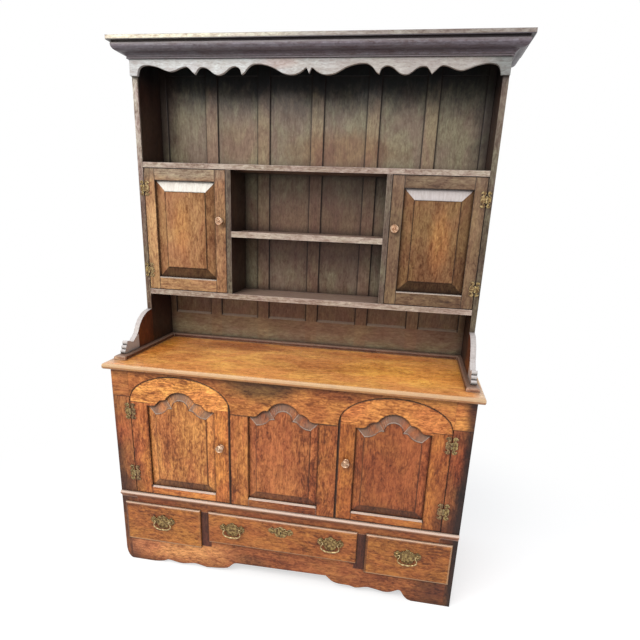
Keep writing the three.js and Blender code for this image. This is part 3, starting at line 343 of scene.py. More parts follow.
    # Relief and sheen
    height = s.math("MULTIPLY_ADD", pore, -0.5, s.math("MULTIPLY", streak, 0.35))
    height = s.math("MULTIPLY_ADD", scuff, 0.2, height)
    if line is not None:
        height = s.math("MULTIPLY_ADD", line, -1.2, height)
    bump = s.node("Bump", {"Strength": 0.35, "Distance": 0.0012, "Height": height, "Normal": soft}).outputs[0]
    dull = s.math("MULTIPLY_ADD", s.math("SUBTRACT", scuff, 0.5), 0.3, rough)
    dull = s.math("MULTIPLY_ADD", grime_and_shade_share, 0.3, dull, clamp=True)
    body = s.node(
        "BsdfPrincipled",
        {
            "Base Color": colour, "Roughness": dull, "Normal": bump, "Specular IOR Level": gloss,
            "Coat Weight": gloss * 0.3, "Coat Roughness": 0.25, "Coat Normal": soft,
        },
    ).outputs[0]
    if brass_when:
        metal = brass_surface(s, place, soft, OLD_BRASS)
        body = s.node("MixShader", {0: inside(s, parts, brass_when), 1: body, 2: metal}).outputs[0]
    return s.finish(body)


# Brass: its colours where it is rubbed, where it is not, and where grime stays
OLD_BRASS = (tint(238, 222, 168), tint(176, 150, 96), tint(92, 68, 42))
BRASS_ARRIS_RADIUS = 0.0012
BRASS_CORNER_REACH = 0.006


def brass_surface(s, place, soft, tones):
    """Old brass: pale gold on the high spots, olive and brown where nobody rubs it."""
    pale, olive, brown = tones
    cloud = s.noise(place, 110.0, 4.0, 0.6)
    speck = s.noise(place, 480.0, 3.0, 0.6)
    turn = s.math("SUBTRACT", 1.0, s.vector("DOT_PRODUCT", soft, s.normal()))
    near = s.open_share(BRASS_CORNER_REACH, 4)
    colour = s.mix(s.span(cloud, 0.4, 0.64), brown, olive)
    colour = s.mix(s.math("MULTIPLY", s.span(speck, 0.5, 0.7), 0.6), colour, brown)
    colour = s.mix(s.span(turn, 0.01, 0.12, 0.0, 0.75), colour, pale)
    colour = s.mix(s.span(near, 0.35, 0.95, 0.9, 0.0), colour, brown)
    dull = s.math("MULTIPLY_ADD", speck, 0.3, 0.22, clamp=True)
    bump = s.node("Bump", {"Strength": 0.3, "Distance": 0.0006, "Height": speck, "Normal": soft}).outputs[0]
    return s.node(
        "BsdfPrincipled", {"Base Color": colour, "Metallic": 0.7, "Roughness": dull, "Normal": bump}
    ).outputs[0]


def brass(name, tones):
    s = material_shader(name)
    return s.finish(brass_surface(s, s.place(), s.rounded(BRASS_ARRIS_RADIUS, 4), tones))


def dress(name, material):
    """Puts the material on all of a CAD piece."""
    slots = nodes[name].material_slots
    if not slots:
        nodes[name].data.materials.append(material)
    for slot in slots:
        slot.material = material


def skin(name, rings, material):
    """A closed skin over rings of points. All rings have as many points, and the end rings are capped."""
    turns = len(rings[0])
    faces = []
    for number in range(len(rings) - 1):
        for turn in range(turns):
            here, after = number * turns + turn, number * turns + (turn + 1) % turns
            faces.append((here, after, after + turns, here + turns))
    faces.append(tuple(reversed(range(turns))))
    faces.append(tuple(range((len(rings) - 1) * turns, len(rings) * turns)))
    mesh = bpy.data.meshes.new(name)
    mesh.from_pydata([point for ring in rings for point in ring], [], faces)
    for polygon in mesh.polygons:
        polygon.use_smooth = len(polygon.vertices) == 4
    mesh.materials.append(material)
    piece = bpy.data.objects.new(name, mesh)
    scene.collection.objects.link(piece)
    return piece


# Turned knobs, finer than the CAD ones: a rose, a neck, and a dished head with a bead and a button.
# Each pair is the share of the radius and the share of the reach.
KNOB_PROFILE = [
    (0.62, 0.0), (0.66, 0.02), (0.66, 0.05), (0.56, 0.085), (0.42, 0.1), (0.37, 0.13), (0.36, 0.2),
    (0.37, 0.3), (0.42, 0.38), (0.47, 0.4), (0.47, 0.43), (0.43, 0.45), (0.56, 0.49), (0.78, 0.54), (0.93, 0.6),
    (0.99, 0.67), (1.0, 0.73), (0.97, 0.8), (0.9, 0.85), (0.82, 0.86), (0.77, 0.84), (0.72, 0.8), (0.66, 0.79),
    (0.6, 0.8), (0.52, 0.86), (0.44, 0.89), (0.38, 0.88), (0.34, 0.85), (0.3, 0.85), (0.28, 0.89), (0.24, 0.95),
    (0.16, 0.985), (0.07, 1.0),
]


def turned_knob(node, body, material, turns=40):
    low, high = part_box(node)
    radius, reach = (high.x - low.x) / 2, high.y - low.y
    centre = Vector(((low.x + high.x) / 2, high.y, (low.z + high.z) / 2))
    rings = []
    for share, out in KNOB_PROFILE:
        angles = [2 * math.pi * step / turns for step in range(turns)]
        rings.append([
            centre + Vector((share * radius * math.cos(angle), -out * reach, share * radius * math.sin(angle)))
            for angle in angles
        ])
    piece = skin(f"{node}_turned", rings, material)
    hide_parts(node)
    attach(piece, body)


# Swan-neck bails, fuller at the foot than the CAD ones: (in from the pin's tip, down) of one half in
# shares of the half width and the drop, then the tube's share of its full thickness there.
BAIL_PATH = [
    (0.0, 0.0, 0.8), (0.14, 0.0, 0.8), (0.22, 0.02, 0.85), (0.28, 0.1, 0.85), (0.27, 0.2, 0.8), (0.2, 0.32, 0.8),
    (0.13, 0.45, 0.85), (0.11, 0.58, 0.9), (0.16, 0.72, 1.0), (0.3, 0.85, 1.1), (0.5, 0.94, 1.2), (0.75, 0.985, 1.3),
    (1.0, 1.0, 1.35),
]


def smoothed(marks, steps):
    """A smooth curve through all the marks, with so many points from each mark to the next."""
    curve = []
    for number in range(len(marks) - 1):
        a, b = marks[max(number - 1, 0)], marks[number]
        c, d = marks[number + 1], marks[min(number + 2, len(marks) - 1)]
        for step in range(steps):
            t = step / steps
            curve.append(0.5 * (2 * b + (c - a) * t + (2 * a - 5 * b + 4 * c - d) * t * t
                                + (3 * b - a - 3 * c + d) * t * t * t))
    return curve + [marks[-1]]


def swan_bail(node, body, material, turns=14, steps=5):
    low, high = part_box(node)
    half_width, thick = (high.x - low.x) / 2, (high.y - low.y) / 2
    middle = Vector(((low.x + high.x) / 2, (low.y + high.y) / 2, high.z - thick))
    drop = middle.z - low.z - thick * BAIL_PATH[-1][2]
    # Each mark is how far to the side and up, and the tube's radius
    marks = [Vector((half_width * (1 - u), -drop * v, thick * share)) for u, v, share in BAIL_PATH]
    marks += [Vector((-mark.x, mark.y, mark.z)) for mark in reversed(marks[:-1])]
    path = smoothed(marks, steps)
    rings = []
    for number, mark in enumerate(path):
        before_it, after_it = path[max(number - 1, 0)], path[min(number + 1, len(path) - 1)]
        ahead = Vector((after_it.x - before_it.x, 0, after_it.y - before_it.y)).normalized()
        side = Vector((ahead.z, 0, -ahead.x))
        angles = [2 * math.pi * turn / turns for turn in range(turns)]
        rings.append([
            middle + Vector((mark.x, 0, mark.y)) + side * mark.z * math.cos(angle)
            + Vector((0, min(mark.z, thick) * math.sin(angle), 0))
            for angle in angles
        ])
    piece = skin(f"{node}_swan", rings, material)
    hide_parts(node)
    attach(piece, body)


# Places taken from the CAD pieces
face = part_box("apron")[0].y
rack_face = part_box("upper_shelf")[0].y
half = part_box("right_front_stile")[1].x
rack_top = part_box("left_rack_side")[1].z

# Heights of the joints in the front, and of the places where brass is one solid with a stile
RAIL_FOOT, DOOR_HEAD, DOOR_FOOT = 0.735, 0.716, 0.364
HINGE_HEIGHTS, RACK_HINGE_HEIGHTS = ("z", 0.34, 0.75), ("z", 1.12, 1.56)
# How far a panel's visible edge lies inside its box, and how far in front of the wood brass begins
PANEL_TONGUE, BRASS_PROUD = 0.009, 0.0002
# How deep a stain on the front goes
STAIN_DEPTH = 0.2

# Colours that several pieces share. The first five are painted sheen and painted highlights on what looks up and on
# arrises; of the second four, the first is partly painted shade and the third a painted highlight on what looks up.
SLATE_SHEEN, ROSE_HIGHLIGHT, CREAM_HIGHLIGHT, LIP_HIGHLIGHT, SHEEN = (
    tint(136, 112, 96), tint(228, 202, 184), tint(208, 176, 138), tint(214, 180, 142), tint(226, 206, 190)
)
UMBER, BARE, DRAWER_TOP, DRAWER_EDGE = tint(46, 28, 22), tint(168, 136, 96), tint(232, 196, 168), tint(96, 56, 36)

# What differs between the two sides: the left is paler, and the right is darker towards its end. The painted sheen
# on the rack's front edge and on the rack panels' bevels differs too, and so does the painted highlight along the
# drawers' lip.
SIDES = {
    "left": {
        "sign": -1, "stile": tint(154, 98, 62), "stile_head": tint(160, 104, 62), "end_stain": (0.04, 0.75),
        "muntin": tint(176, 114, 68), "door": tint(194, 126, 72), "door_head": tint(234, 168, 98),
        "hinge_stain": 0.55, "hinge_stile": tint(184, 112, 72), "door_panel": tint(190, 130, 80),
        "drawer": tint(166, 108, 58), "drawer_lip_highlight": 0.1,
        "rack_side": tint(118, 106, 96), "rack_edge_bloom_and_sheen": 0.9, "rack_door": tint(156, 120, 86),
        "rack_rail": tint(136, 130, 116), "rack_hinge_stile": 0.75, "rack_panel": tint(150, 112, 82),
        "rack_bevel_sheen": tint(242, 238, 228),
    },
    "right": {
        "sign": 1, "stile": tint(140, 86, 54), "stile_head": tint(184, 123, 71), "end_stain": (0.055, 0.9),
        "muntin": tint(170, 108, 64), "door": tint(166, 102, 56), "door_head": tint(206, 138, 82),
        "hinge_stain": 0.75, "hinge_stile": tint(150, 86, 52), "door_panel": tint(146, 86, 52),
        "drawer": tint(154, 98, 54), "drawer_lip_highlight": 0.4,
        "rack_side": tint(92, 85, 75), "rack_edge_bloom_and_sheen": 0.15, "rack_door": tint(108, 86, 66),
        "rack_rail": tint(118, 100, 84), "rack_hinge_stile": 0.1, "rack_panel": tint(122, 94, 68),
        "rack_bevel_sheen": tint(206, 198, 196),
    },
}


def blot(plane, x, z, wide, high, colour, strength):
    """A soft spot on a face that looks to the front and lies at plane."""
    return ((x, plane, z), (wide, STAIN_DEPTH, high), colour, strength)


def dress_stile(side, tones, sign):
    outer = sign * half
    stain_width, stain_strength = tones["end_stain"]
    stains = [
        blot(face, outer, 0.42, stain_width, 0.42, tint(42, 22, 16), stain_strength),
        blot(face, outer - sign * 0.02, 0.33, 0.09, 0.1, tint(58, 32, 24), 0.7),
        blot(face, outer - sign * 0.03, 0.6, 0.05, 0.1, tint(160, 78, 48), 0.4),
        blot(face, outer - sign * 0.03, 0.1, 0.06, 0.16, tint(60, 34, 24), 0.6),
    ]
    if side == "right":
        stains += [
            blot(face, outer, 0.4, 0.032, 0.9, tint(34, 22, 20), 0.9),
            blot(face, outer, 0.82, 0.05, 0.12, tint(70, 40, 30), 0.85),
        ]
    dress(f"{side}_front_stile", wood(
        f"{side}_stile_oak", tones["stile"], "z", 1.3 + sign, spots=stains, contrast=1.1,
        zones=[(tones["stile_head"], [above(RAIL_FOOT)])], boards=[("x", [above(RAIL_FOOT)])],
        lines=[("z", RAIL_FOOT, [])],
        brass_when=[before(face - BRASS_PROUD), HINGE_HEIGHTS, on_side(sign, 0.59, 0.64)],
    ))


def dress_door(side, tones, sign):
    panel_low, panel_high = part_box(f"{side}_door_panel")
    left_in, right_in = panel_low.x + PANEL_TONGUE, panel_high.x - PANEL_TONGUE
    frame_low, frame_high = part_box(f"{side}_door_frame")
    gap = 0.006
    lock_side = (frame_high.x - gap, frame_high.x) if side == "left" else (frame_low.x, frame_low.x + gap)
    over_foot = below(DOOR_FOOT + 0.002)
    dress(f"{side}_door_frame", wood(
        f"{side}_door_oak", tones["door"], "z", 5.7 + 2 * sign,
        zones=[(tones["door_head"], [above(DOOR_HEAD)])],
        spots=[
            blot(face, sign * 0.6, 0.4, 0.05, 0.14, tint(84, 50, 32), tones["hinge_stain"]),
            blot(face, sign * 0.59, 0.56, 0.05, 0.2, tones["hinge_stile"], 0.75),
        ],
        boards=[("x", [above(DOOR_HEAD)]), ("x", [below(DOOR_FOOT), ("x", left_in, right_in)])],
        lines=[
            ("z", DOOR_HEAD, [on_side(sign, 0.53, 0.61)]), ("x", left_in, [over_foot]), ("x", right_in, [over_foot]),
        ],
        # A painted highlight on what looks up, and painted shade along the arrises and in the gap on the lock side
        top_dust_and_sheen=(ROSE_HIGHLIGHT, 0.2, 0.6, 0.95), arris_wear_light_and_shade=(DARK_GRIME_AND_SHADE, 1.0), edge_reach=0.008, washes=[(DARK_GRIME_AND_SHADE, [("x", *lock_side)], 0.85)],
    ))
    middle_x = (panel_low.x + panel_high.x) / 2
    dress(f"{side}_door_panel", wood(
        f"{side}_panel_oak", tones["door_panel"], "z", 8.9 + 3 * sign, contrast=1.05,
        spots=[blot(face, middle_x, 0.37, 0.16, 0.05, tint(104, 62, 38), 0.6)],
        # Painted sheen on the bevels that look up with a painted highlight along their arrises, painted shade along
        # the other arrises, and the faces that look left and right painted lighter and those that look down darker
        top_dust_and_sheen=(SLATE_SHEEN, 0.03, 0.26, 0.95), rim_highlight=SHEEN, arris_wear_light_and_shade=(tint(84, 48, 30), 0.8), lean_light_and_shade=(1.2, 1.35, 0.5),
        edge_reach=0.005, edge_turn=(0.0006, 0.004),
    ))


def dress_drawer(side, tones, sign):
    low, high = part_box(f"{side}_drawer_front")
    # Painted highlights on what looks up and along the lip at the foot and at the right end
    dress(f"{side}_drawer_front", wood(
        f"{side}_drawer_oak", tones["drawer"], "x", 17.9 + sign, contrast=1.2, top_dust_and_sheen=(DRAWER_TOP, 0.12, 0.5, 0.9),
        arris_wear_light_and_shade=(DRAWER_EDGE, 0.6), washes=[
            (LIP_HIGHLIGHT, [("z", low.z + 0.001, low.z + 0.007)], 0.6),
            (LIP_HIGHLIGHT, [("x", high.x - 0.007, high.x - 0.002)], tones["drawer_lip_highlight"]),
            (tint(70, 40, 28), [("x", low.x, low.x + 0.009)], 0.6),
        ],
    ))
    dress(f"{side}_drawer_box", wood(f"{side}_box_oak", BARE, "y", 19.1 + sign, gloss=0.1, rough=0.7, grime_and_shade=0.6))


def dress_rack_side(side, tones, sign):
    low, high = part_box(f"{side}_rack_side")
    inner_face, inner_end = half - 0.0226, half - 0.05
    inner = on_side(sign, inner_end, inner_face)
    tip_highlight = [("z", 0.88, 0.935), before(rack_face - 0.12), ("x", low.x + 0.001, high.x - 0.001)]
    dress(f"{side}_rack_side", wood(
        f"{side}_rack_side_oak", tones["rack_side"], "z", 41.3 + sign, contrast=0.9,
        # The inner faces are darker brown, partly as painted shade
        zones=[(UMBER, [inner]), (tint(86, 46, 26), [inner, below(1.1), before(rack_face)])],
        spots=[
            # A painted shadow at the top, under the frieze
            ((sign * 0.64, 0.1, 1.95), (0.05, 0.4, 0.14), tint(24, 26, 32), 0.9),
            # Bloom with painted sheen down the front edge
            ((sign * half, rack_face, 1.86), (0.05, 0.012, 0.5), tint(168, 166, 168), tones["rack_edge_bloom_and_sheen"]),
        ],
        # Painted highlights on what looks up and on the front tip
        top_dust_and_sheen=(tint(214, 206, 204), 0.1, 0.6, 0.85), washes=[(tint(206, 202, 198), tip_highlight, 0.7)],
        brass_when=[before(rack_face - BRASS_PROUD), RACK_HINGE_HEIGHTS],
    ))


def dress_rack_door(side, tones, sign):
    low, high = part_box(f"{side}_rack_door_panel")
    left_in, right_in = low.x + PANEL_TONGUE, high.x - PANEL_TONGUE
    foot_in, head_in = low.z + PANEL_TONGUE, high.z - PANEL_TONGUE
    between = ("x", left_in, right_in)
    dress(f"{side}_rack_door_frame", wood(
        f"{side}_rack_door_oak", tones["rack_door"], "z", 47.7 + sign, contrast=0.85, warmth=0.6,
        boards=[("x", [above(head_in), between]), ("x", [below(foot_in), between])],
        lines=[("x", where, [rail]) for rail in (above(head_in), below(foot_in)) for where in (left_in, right_in)],
        spots=[
            blot(rack_face, sign * 0.5, high.z + 0.03, 0.3, 0.06, tones["rack_rail"], 0.75),
            blot(rack_face, sign * 0.6, 1.34, 0.05, 0.25, tint(180, 138, 100), tones["rack_hinge_stile"]),
        ],
        # A painted highlight along the foot of the opening, painted highlights on what looks up, and painted shade
        # along the arrises
        washes=[(tint(206, 192, 180), [("z", foot_in - 0.0045, foot_in + 0.001), between], 0.85)],
        top_dust_and_sheen=(tint(206, 196, 190), 0.3, 0.7, 0.9), arris_wear_light_and_shade=(DARK_GRIME_AND_SHADE, 0.9), edge_reach=0.006,
    ))
    dress(f"{side}_rack_door_panel", wood(
        f"{side}_rack_panel_oak", tones["rack_panel"], "z", 50.3 + sign, contrast=0.8, warmth=0.8, gloss=0.12,
        spots=[blot(rack_face, sign * 0.5, 1.34, 0.05, 0.14, tint(168, 120, 78), 0.6)],
        # Painted sheen on the bevels that look up, painted shade along the arrises, and the faces that look right
        # and down painted darker
        top_dust_and_sheen=(tones["rack_bevel_sheen"], 0.06, 0.18, 0.97), arris_wear_light_and_shade=(tint(50, 34, 26), 0.9), lean_light_and_shade=(1.0, 0.85, 0.3),
        edge_reach=0.005, edge_turn=(0.001, 0.007),
    ))


def dress_side(side, tones):
    sign = tones["sign"]
    dress_stile(side, tones, sign)
    # Painted shade along the muntin's arrises beside the doors
    dress(f"{side}_door_muntin", wood(
        f"{side}_muntin_oak", tones["muntin"], "z", 3.1 + sign, contrast=1.1, arris_wear_light_and_shade=(DARK_GRIME_AND_SHADE, 1.0), edge_reach=0.008,
    ))
    dress_door(side, tones, sign)
    # Painted sheen on what looks up
    dress(f"{side}_base_end", wood(
        f"{side}_end_oak", tint(128, 76, 46), "z", 12.3 + sign, top_dust_and_sheen=(SLATE_SHEEN, 0.1, 0.4, 0.6),
    ))
    dress(f"{side}_drawer_divider", wood(f"{side}_divider_oak", tint(84, 46, 34), "z", 15.1 + sign, grime_and_shade=1.15))
    dress_drawer(side, tones, sign)
    dress_rack_side(side, tones, sign)
    # Painted highlights on the arrises, and darker inside the bays, partly as painted shade
    dress(f"{side}_rack_divider", wood(
        f"{side}_rack_divider_oak", tint(96, 88, 80), "z", 44.1 + sign, arris_wear_light_and_shade=(tint(150, 136, 126), 0.4),
        zones=[(tint(48, 31, 24), [behind(rack_face + 0.002)])],
    ))
    dress_rack_door(side, tones, sign)


def dress_base_middle():
    # Painted shade along the arrises under the worktop and beside the doors and drawers
    dress("front_top_rail", wood(
        "top_rail_oak", tint(184, 123, 71), "x", 21.7, arris_wear_light_and_shade=(DARK_GRIME_AND_SHADE, 1.0), edge_reach=0.007,
        edge_where=[("x", -0.597, 0.597)],
        spots=[
            blot(face, -0.09, 0.83, 0.22, 0.085, tint(94, 68, 44), 0.92),
            blot(face, 0.22, 0.83, 0.2, 0.05, tint(140, 84, 50), 0.6),
        ],
    ))
    # Painted sheen on the bevels that look up with a painted highlight along their arrises, painted shade along the
    # other arrises, and the faces that look left and right painted lighter and those that look down darker
    dress("centre_panel", wood(
        "centre_panel_oak", tint(160, 98, 62), "z", 24.3, contrast=1.2, top_dust_and_sheen=(SLATE_SHEEN, 0.03, 0.26, 0.95), rim_highlight=SHEEN,
        arris_wear_light_and_shade=(tint(84, 48, 30), 0.7), lean_light_and_shade=(1.1, 1.3, 0.5), edge_reach=0.005, edge_turn=(0.0006, 0.004),
    ))
    bead_foot, bead_middle, bead_top = 0.3, 0.3175, 0.3245
    bead_front = before(face - 0.004)
    # Painted highlights on what looks up, on the arrises and on the bead's upper half, and painted shade on its
    # lower half
    dress("waist_rail", wood(
        "waist_oak", tint(150, 92, 56), "x", 26.9, top_dust_and_sheen=(ROSE_HIGHLIGHT, 0.15, 0.6, 0.95), arris_wear_light_and_shade=(tint(206, 176, 160), 0.5),
        washes=[
            (ROSE_HIGHLIGHT, [("z", bead_middle, bead_top), bead_front], 0.65),
            (tint(150, 112, 88), [("z", bead_foot, bead_middle), bead_front], 0.6),
        ],
    ))
    dress("apron", wood(
        "apron_oak", tint(154, 96, 60), "x", 29.5, contrast=1.1, arris_wear_light_and_shade=(tint(78, 44, 32), 0.7),
        spots=[
            blot(face, -0.65, 0.05, 0.07, 0.1, tint(84, 50, 38), 0.75),
            blot(face, 0.6, 0.06, 0.1, 0.1, tint(74, 40, 28), 0.75),
            blot(face, -0.44, 0.075, 0.34, 0.085, tint(208, 146, 102), 0.8),
            blot(face, -0.12, 0.06, 0.1, 0.05, tint(96, 58, 42), 0.6),
        ],
    ))
    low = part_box("centre_drawer_front")[0]
    keyhole_plate = [before(low.y + 0.0018), ("x", -0.06, 0.06)]
    # Painted highlights on what looks up and along the lip at the foot
    dress("centre_drawer_front", wood(
        "centre_drawer_oak", tint(158, 100, 56), "x", 31.3, contrast=1.2, top_dust_and_sheen=(DRAWER_TOP, 0.12, 0.5, 0.9),
        washes=[(LIP_HIGHLIGHT, [below(low.z + 0.006)], 0.5)], arris_wear_light_and_shade=(DRAWER_EDGE, 0.6), brass_when=keyhole_plate,
    ))
    dress("centre_drawer_box", wood("centre_box_oak", BARE, "y", 33.1, gloss=0.1, rough=0.7, grime_and_shade=0.6))
    dress("base_back", wood("base_back_oak", tint(110, 80, 56), "z", 35.7, gloss=0.1, rough=0.75))
    dress("cupboard_floor", wood("floor_oak", tint(130, 96, 66), "x", 37.3, gloss=0.1, rough=0.7))


def dress_worktop():
    low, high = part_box("worktop")
    front_edge = ("y", low.y - 0.01, low.y + 0.0065)
    middle_z = high.z - 0.55 * (high.z - low.z)
    surface, spot_height = 0.865, 0.1

    def spot(x, y, wide, deep, colour, strength):
        return ((x, y, surface), (wide, deep, spot_height), colour, strength)

    dress("worktop", wood(
        "worktop_oak", tint(236, 174, 106), "x", 39.9, grime_and_shade=0.8, rough=0.3, gloss=0.4, contrast=0.65,
        # A painted highlight on the upper half of the front edge, and painted shade on its lower half
        washes=[
            (CREAM_HIGHLIGHT, [front_edge, above(middle_z)], 0.8), (tint(150, 104, 70), [front_edge, below(middle_z)], 0.75),
        ],
        spots=[
            spot(-0.62, 0.1, 0.12, 0.35, tint(232, 158, 66), 0.7),
            spot(-0.3, 0.16, 0.3, 0.09, tint(150, 78, 40), 0.7),
            spot(0.35, 0.15, 0.35, 0.07, tint(190, 106, 56), 0.7),
            # Painted sheen at the right and left ends
            spot(high.x, -0.12, 0.05, 0.4, tint(216, 200, 176), 0.75),
            spot(low.x, -0.16, 0.07, 0.16, tint(208, 186, 164), 0.75),
            spot(0.45, -0.02, 0.4, 0.2, tint(255, 190, 98), 0.9),
        ],
    ))


def dress_rack_back():
    pitch, muntin_half, panel_foot, end_joint = 0.216, 0.025, 0.9763, 0.6207
    muntins = [(number * pitch - muntin_half, number * pitch + muntin_half) for number in range(-2, 3)]
    joints = [where for muntin in muntins for where in muntin] + [-end_joint, end_joint]
    # Painted highlights on what looks up
    dress("rack_back", wood(
        "rack_back_oak", tint(122, 116, 104), "z", 60.1, contrast=0.5, top_dust_and_sheen=(tint(166, 150, 134), 0.2, 0.6, 0.85),
        zones=[(tint(130, 117, 102), [("x", *muntin)]) for muntin in muntins],
        lines=[("x", where, [above(panel_foot)]) for where in joints], line_half=0.0035,
        boards=[("x", [below(panel_foot)])],
        washes=[(tint(88, 72, 58), [behind(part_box("rack_back")[1].y - 0.001)], 0.8)],
        spots=[
            # A painted shadow under the frieze
            ((0.0, 0.2, 1.95), (2.2, 0.4, 0.19), tint(24, 27, 31), 1.0),
            ((0.1, 0.2, 1.66), (0.3, 0.3, 0.1), tint(120, 84, 58), 0.6),
            ((-0.3, 0.2, 1.68), (0.16, 0.3, 0.12), tint(128, 106, 86), 0.5),
            ((-0.66, 0.2, 1.8), (0.1, 0.3, 0.4), tint(44, 36, 32), 0.8),
            ((0.66, 0.2, 1.8), (0.1, 0.3, 0.4), tint(52, 50, 48), 0.8),
            ((0.0, 0.2, 1.0), (1.2, 0.3, 0.16), tint(114, 92, 76), 0.8),
            ((0.0, 0.2, 1.36), (0.5, 0.3, 0.3), tint(100, 76, 64), 0.9),
        ],
    ))


def dress_rack_middle():
    for name, seed in (("upper_shelf", 53.1), ("middle_shelf", 55.3), ("lower_shelf", 57.9)):
        # Front edges paler as painted sheen, and painted highlights on what looks up and on the arrises
        dress(name, wood(
            f"{name}_oak", tint(104, 82, 70), "x", seed, contrast=0.7, warmth=0.5,
            zones=[(tint(166, 153, 144), [before(rack_face + 0.001)])], top_dust_and_sheen=(tint(172, 146, 132), 0.5, 0.9, 0.6),
            arris_wear_light_and_shade=(tint(190, 172, 162), 0.7),
        ))
    dress_rack_back()
    # Painted highlights on the front, on what looks up and on the arrises
    dress("rack_shoe", wood(
        "shoe_oak", tint(96, 64, 50), "x", 62.3, grime_and_shade=0.45, top_dust_and_sheen=(tint(150, 122, 106), 0.2, 0.8, 0.75),
        zones=[(tint(190, 164, 144), [before(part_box("rack_shoe")[0].y + 0.012)])],
        arris_wear_light_and_shade=(tint(216, 184, 160), 0.9),
    ))
    # Its grey-lilac tone is partly painted sheen, and its arrises have painted highlights
    dress("cornice", wood(
        "cornice_oak", tint(119, 113, 123), "x", 64.9, contrast=0.6, warmth=0.4, arris_wear_light_and_shade=(tint(150, 140, 146), 0.5),
        zones=[(tint(140, 134, 130), [above(rack_top + 0.0005)])],
        # Painted sheen on the left of the cap
        spots=[((-0.75, rack_face, 1.988), (0.9, 0.6, 0.02), tint(220, 217, 200), 1.0)],
        # Its upper side, then bands of the moulding from the top down: a painted shadow under the cap, a painted
        # highlight on the ovolo's top, painted shade below it and a painted highlight on the fillet
        washes=[
            (tint(104, 94, 86), [above(1.9915)], 0.8),
            (tint(34, 30, 34), [("z", 1.9765, 1.9805)], 0.85),
            (tint(142, 132, 132), [("z", 1.966, 1.9765)], 0.45),
            (tint(54, 48, 58), [("z", 1.94, 1.961)], 0.45),
            (tint(128, 118, 120), [("z", 1.931, 1.9365)], 0.6),
        ],
    ))
    # Pale grey as painted sheen, fading darker to the right
    dress("frieze", wood("frieze_sheen_oak", tint(192, 194, 196), "x", 67.1, contrast=0.35, warmth=0.2, spots=[
        blot(rack_face, 0.35, 1.9, 0.5, 0.1, tint(166, 158, 154), 0.9),
        blot(rack_face, 0.66, 1.9, 0.1, 0.1, tint(124, 126, 126), 0.9),
        blot(rack_face, -0.1, 1.92, 0.1, 0.03, tint(186, 166, 158), 0.6),
    ]))


def dress_brass():
    pull_brass = brass("pull_brass", OLD_BRASS)
    bail_brass = brass("bail_brass", (tint(252, 242, 208), tint(232, 212, 160), tint(150, 122, 78)))
    rack_brass = brass("rack_brass", (tint(240, 224, 176), tint(186, 160, 112), tint(96, 70, 44)))
    hinge_brass = brass("hinge_brass", (tint(230, 206, 158), tint(168, 138, 96), tint(90, 64, 44)))
    knob_brass = brass("knob_brass", (tint(252, 238, 220), tint(228, 200, 172), tint(168, 128, 98)))
    for side in SIDES:
        for door, metal in (("door", hinge_brass), ("rack_door", rack_brass)):
            turned_knob(f"{side}_{door}_knob", f"{side}_{door}", knob_brass)
            for which in ("upper_hinge", "lower_hinge"):
                dress(f"{side}_{door}_{which}", metal)
    for pull in ("left_drawer", "centre_drawer_left", "centre_drawer_right", "right_drawer"):
        dress(f"{pull}_plate", pull_brass)
        swan_bail(f"{pull}_bail", f"{pull}_bail", bail_brass)


# How strong the light from all round is, which the floor glows with too
AROUND = 0.58
WHITE = (1, 1, 1)


def camera():
    """The camera at the photograph's angle."""
    data = bpy.data.cameras.new("camera")
    data.sensor_fit = "HORIZONTAL"
    data.sensor_width = 36.0
    data.lens = 28.521
    data.shift_x = -0.0014
    data.shift_y = 0.0923
    data.clip_start, data.clip_end = 0.05, 60.0
    shown = bpy.data.objects.new("camera", data)
    right = Vector((0.983531, 0.176559, 0.038638))
    upward = Vector((-0.090950, 0.298750, 0.949988))
    back = right.cross(upward)
    turn = Matrix((right, upward, back)).transposed()
    shown.matrix_world = Matrix.Translation((0.41005, -1.89494, 1.42477)) @ turn.to_4x4()
    scene.collection.objects.link(shown)
    scene.camera = shown


def seen_rays(s):
    """1 for the rays that see the background: from the camera, in a reflection or through glass."""
    path = s.node("LightPath").outputs
    seen = s.math("MAXIMUM", path["Is Camera Ray"], path["Is Glossy Ray"])
    return s.math("MAXIMUM", seen, path["Is Transmission Ray"])


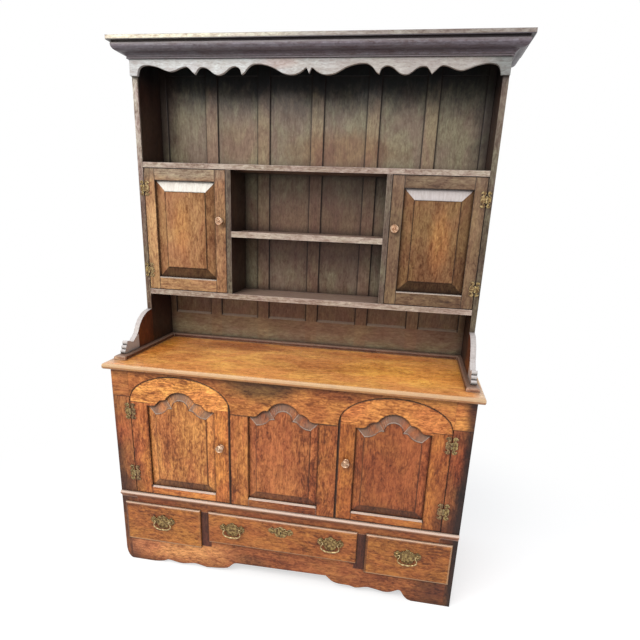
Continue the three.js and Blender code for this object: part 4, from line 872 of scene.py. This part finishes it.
def floor():
    """A pale floor that keeps the object's shadow and fades into white."""
    reach, fade_start, fade_end = 14.0, 1.0, 1.9
    mesh = bpy.data.meshes.new("floor")
    mesh.from_pydata([(-reach, -reach, 0), (reach, -reach, 0), (reach, reach, 0), (-reach, reach, 0)],
                     [], [(0, 1, 2, 3)])
    shown = bpy.data.objects.new("floor", mesh)
    scene.collection.objects.link(shown)
    s = material_shader("floor")
    place = s.place()
    away = s.vector("LENGTH", s.vector("MULTIPLY", place, (1, 1.2, 1)))
    speckle = s.noise(place, 30.0, 3.0)
    pale = s.mix(speckle, (0.56, 0.56, 0.56), (0.6, 0.6, 0.6))
    matt = s.node("BsdfDiffuse", {"Color": pale}).outputs[0]
    glow = s.node("Emission", {"Color": WHITE, "Strength": AROUND}).outputs[0]
    both = s.node("AddShader", {0: matt, 1: glow}).outputs[0]
    white = s.node("Emission", {"Color": WHITE, "Strength": 1.0}).outputs[0]
    fade = s.node("MixShader", {0: s.span(away, fade_start, fade_end), 1: both, 2: white}).outputs[0]
    surface = s.node("MixShader", {0: seen_rays(s), 1: matt, 2: fade}).outputs[0]
    shown.data.materials.append(s.finish(surface))


def surroundings():
    """Soft light from all round, behind a white background."""
    scene.world = bpy.data.worlds.new("world")
    s = Shader(scene.world, "ShaderNodeOutputWorld")
    light = s.node("Background", {"Color": (0.93, 0.96, 1.0), "Strength": AROUND}).outputs[0]
    white = s.node("Background", {"Color": WHITE, "Strength": 1.0}).outputs[0]
    s.finish(s.node("MixShader", {0: seen_rays(s), 1: light, 2: white}).outputs[0])


def softbox(name, place, aim, width, height, watts, colour=(1, 1, 1)):
    data = bpy.data.lights.new(name, "AREA")
    data.shape = "RECTANGLE"
    data.size, data.size_y = width, height
    data.energy = watts
    data.color = colour
    shown = bpy.data.objects.new(name, data)
    scene.collection.objects.link(shown)
    shown.location = place
    shown.rotation_mode = "QUATERNION"
    shown.rotation_quaternion = (Vector(aim) - Vector(place)).to_track_quat("-Z", "Y")


for side, tones in SIDES.items():
    dress_side(side, tones)
dress_base_middle()
dress_worktop()
dress_rack_middle()
dress_brass()
camera()
floor()
surroundings()
softbox("key", (-1.2, -2.6, 3.2), (0.0, 0.1, 1.1), 3.0, 1.6, 95.0, (1.0, 0.98, 0.95))
softbox("fill", (2.6, -1.8, 1.6), (0.2, 0.0, 0.9), 1.6, 2.2, 16.0)
scene.view_settings.view_transform = "Standard"

bpy.context.view_layer.update()
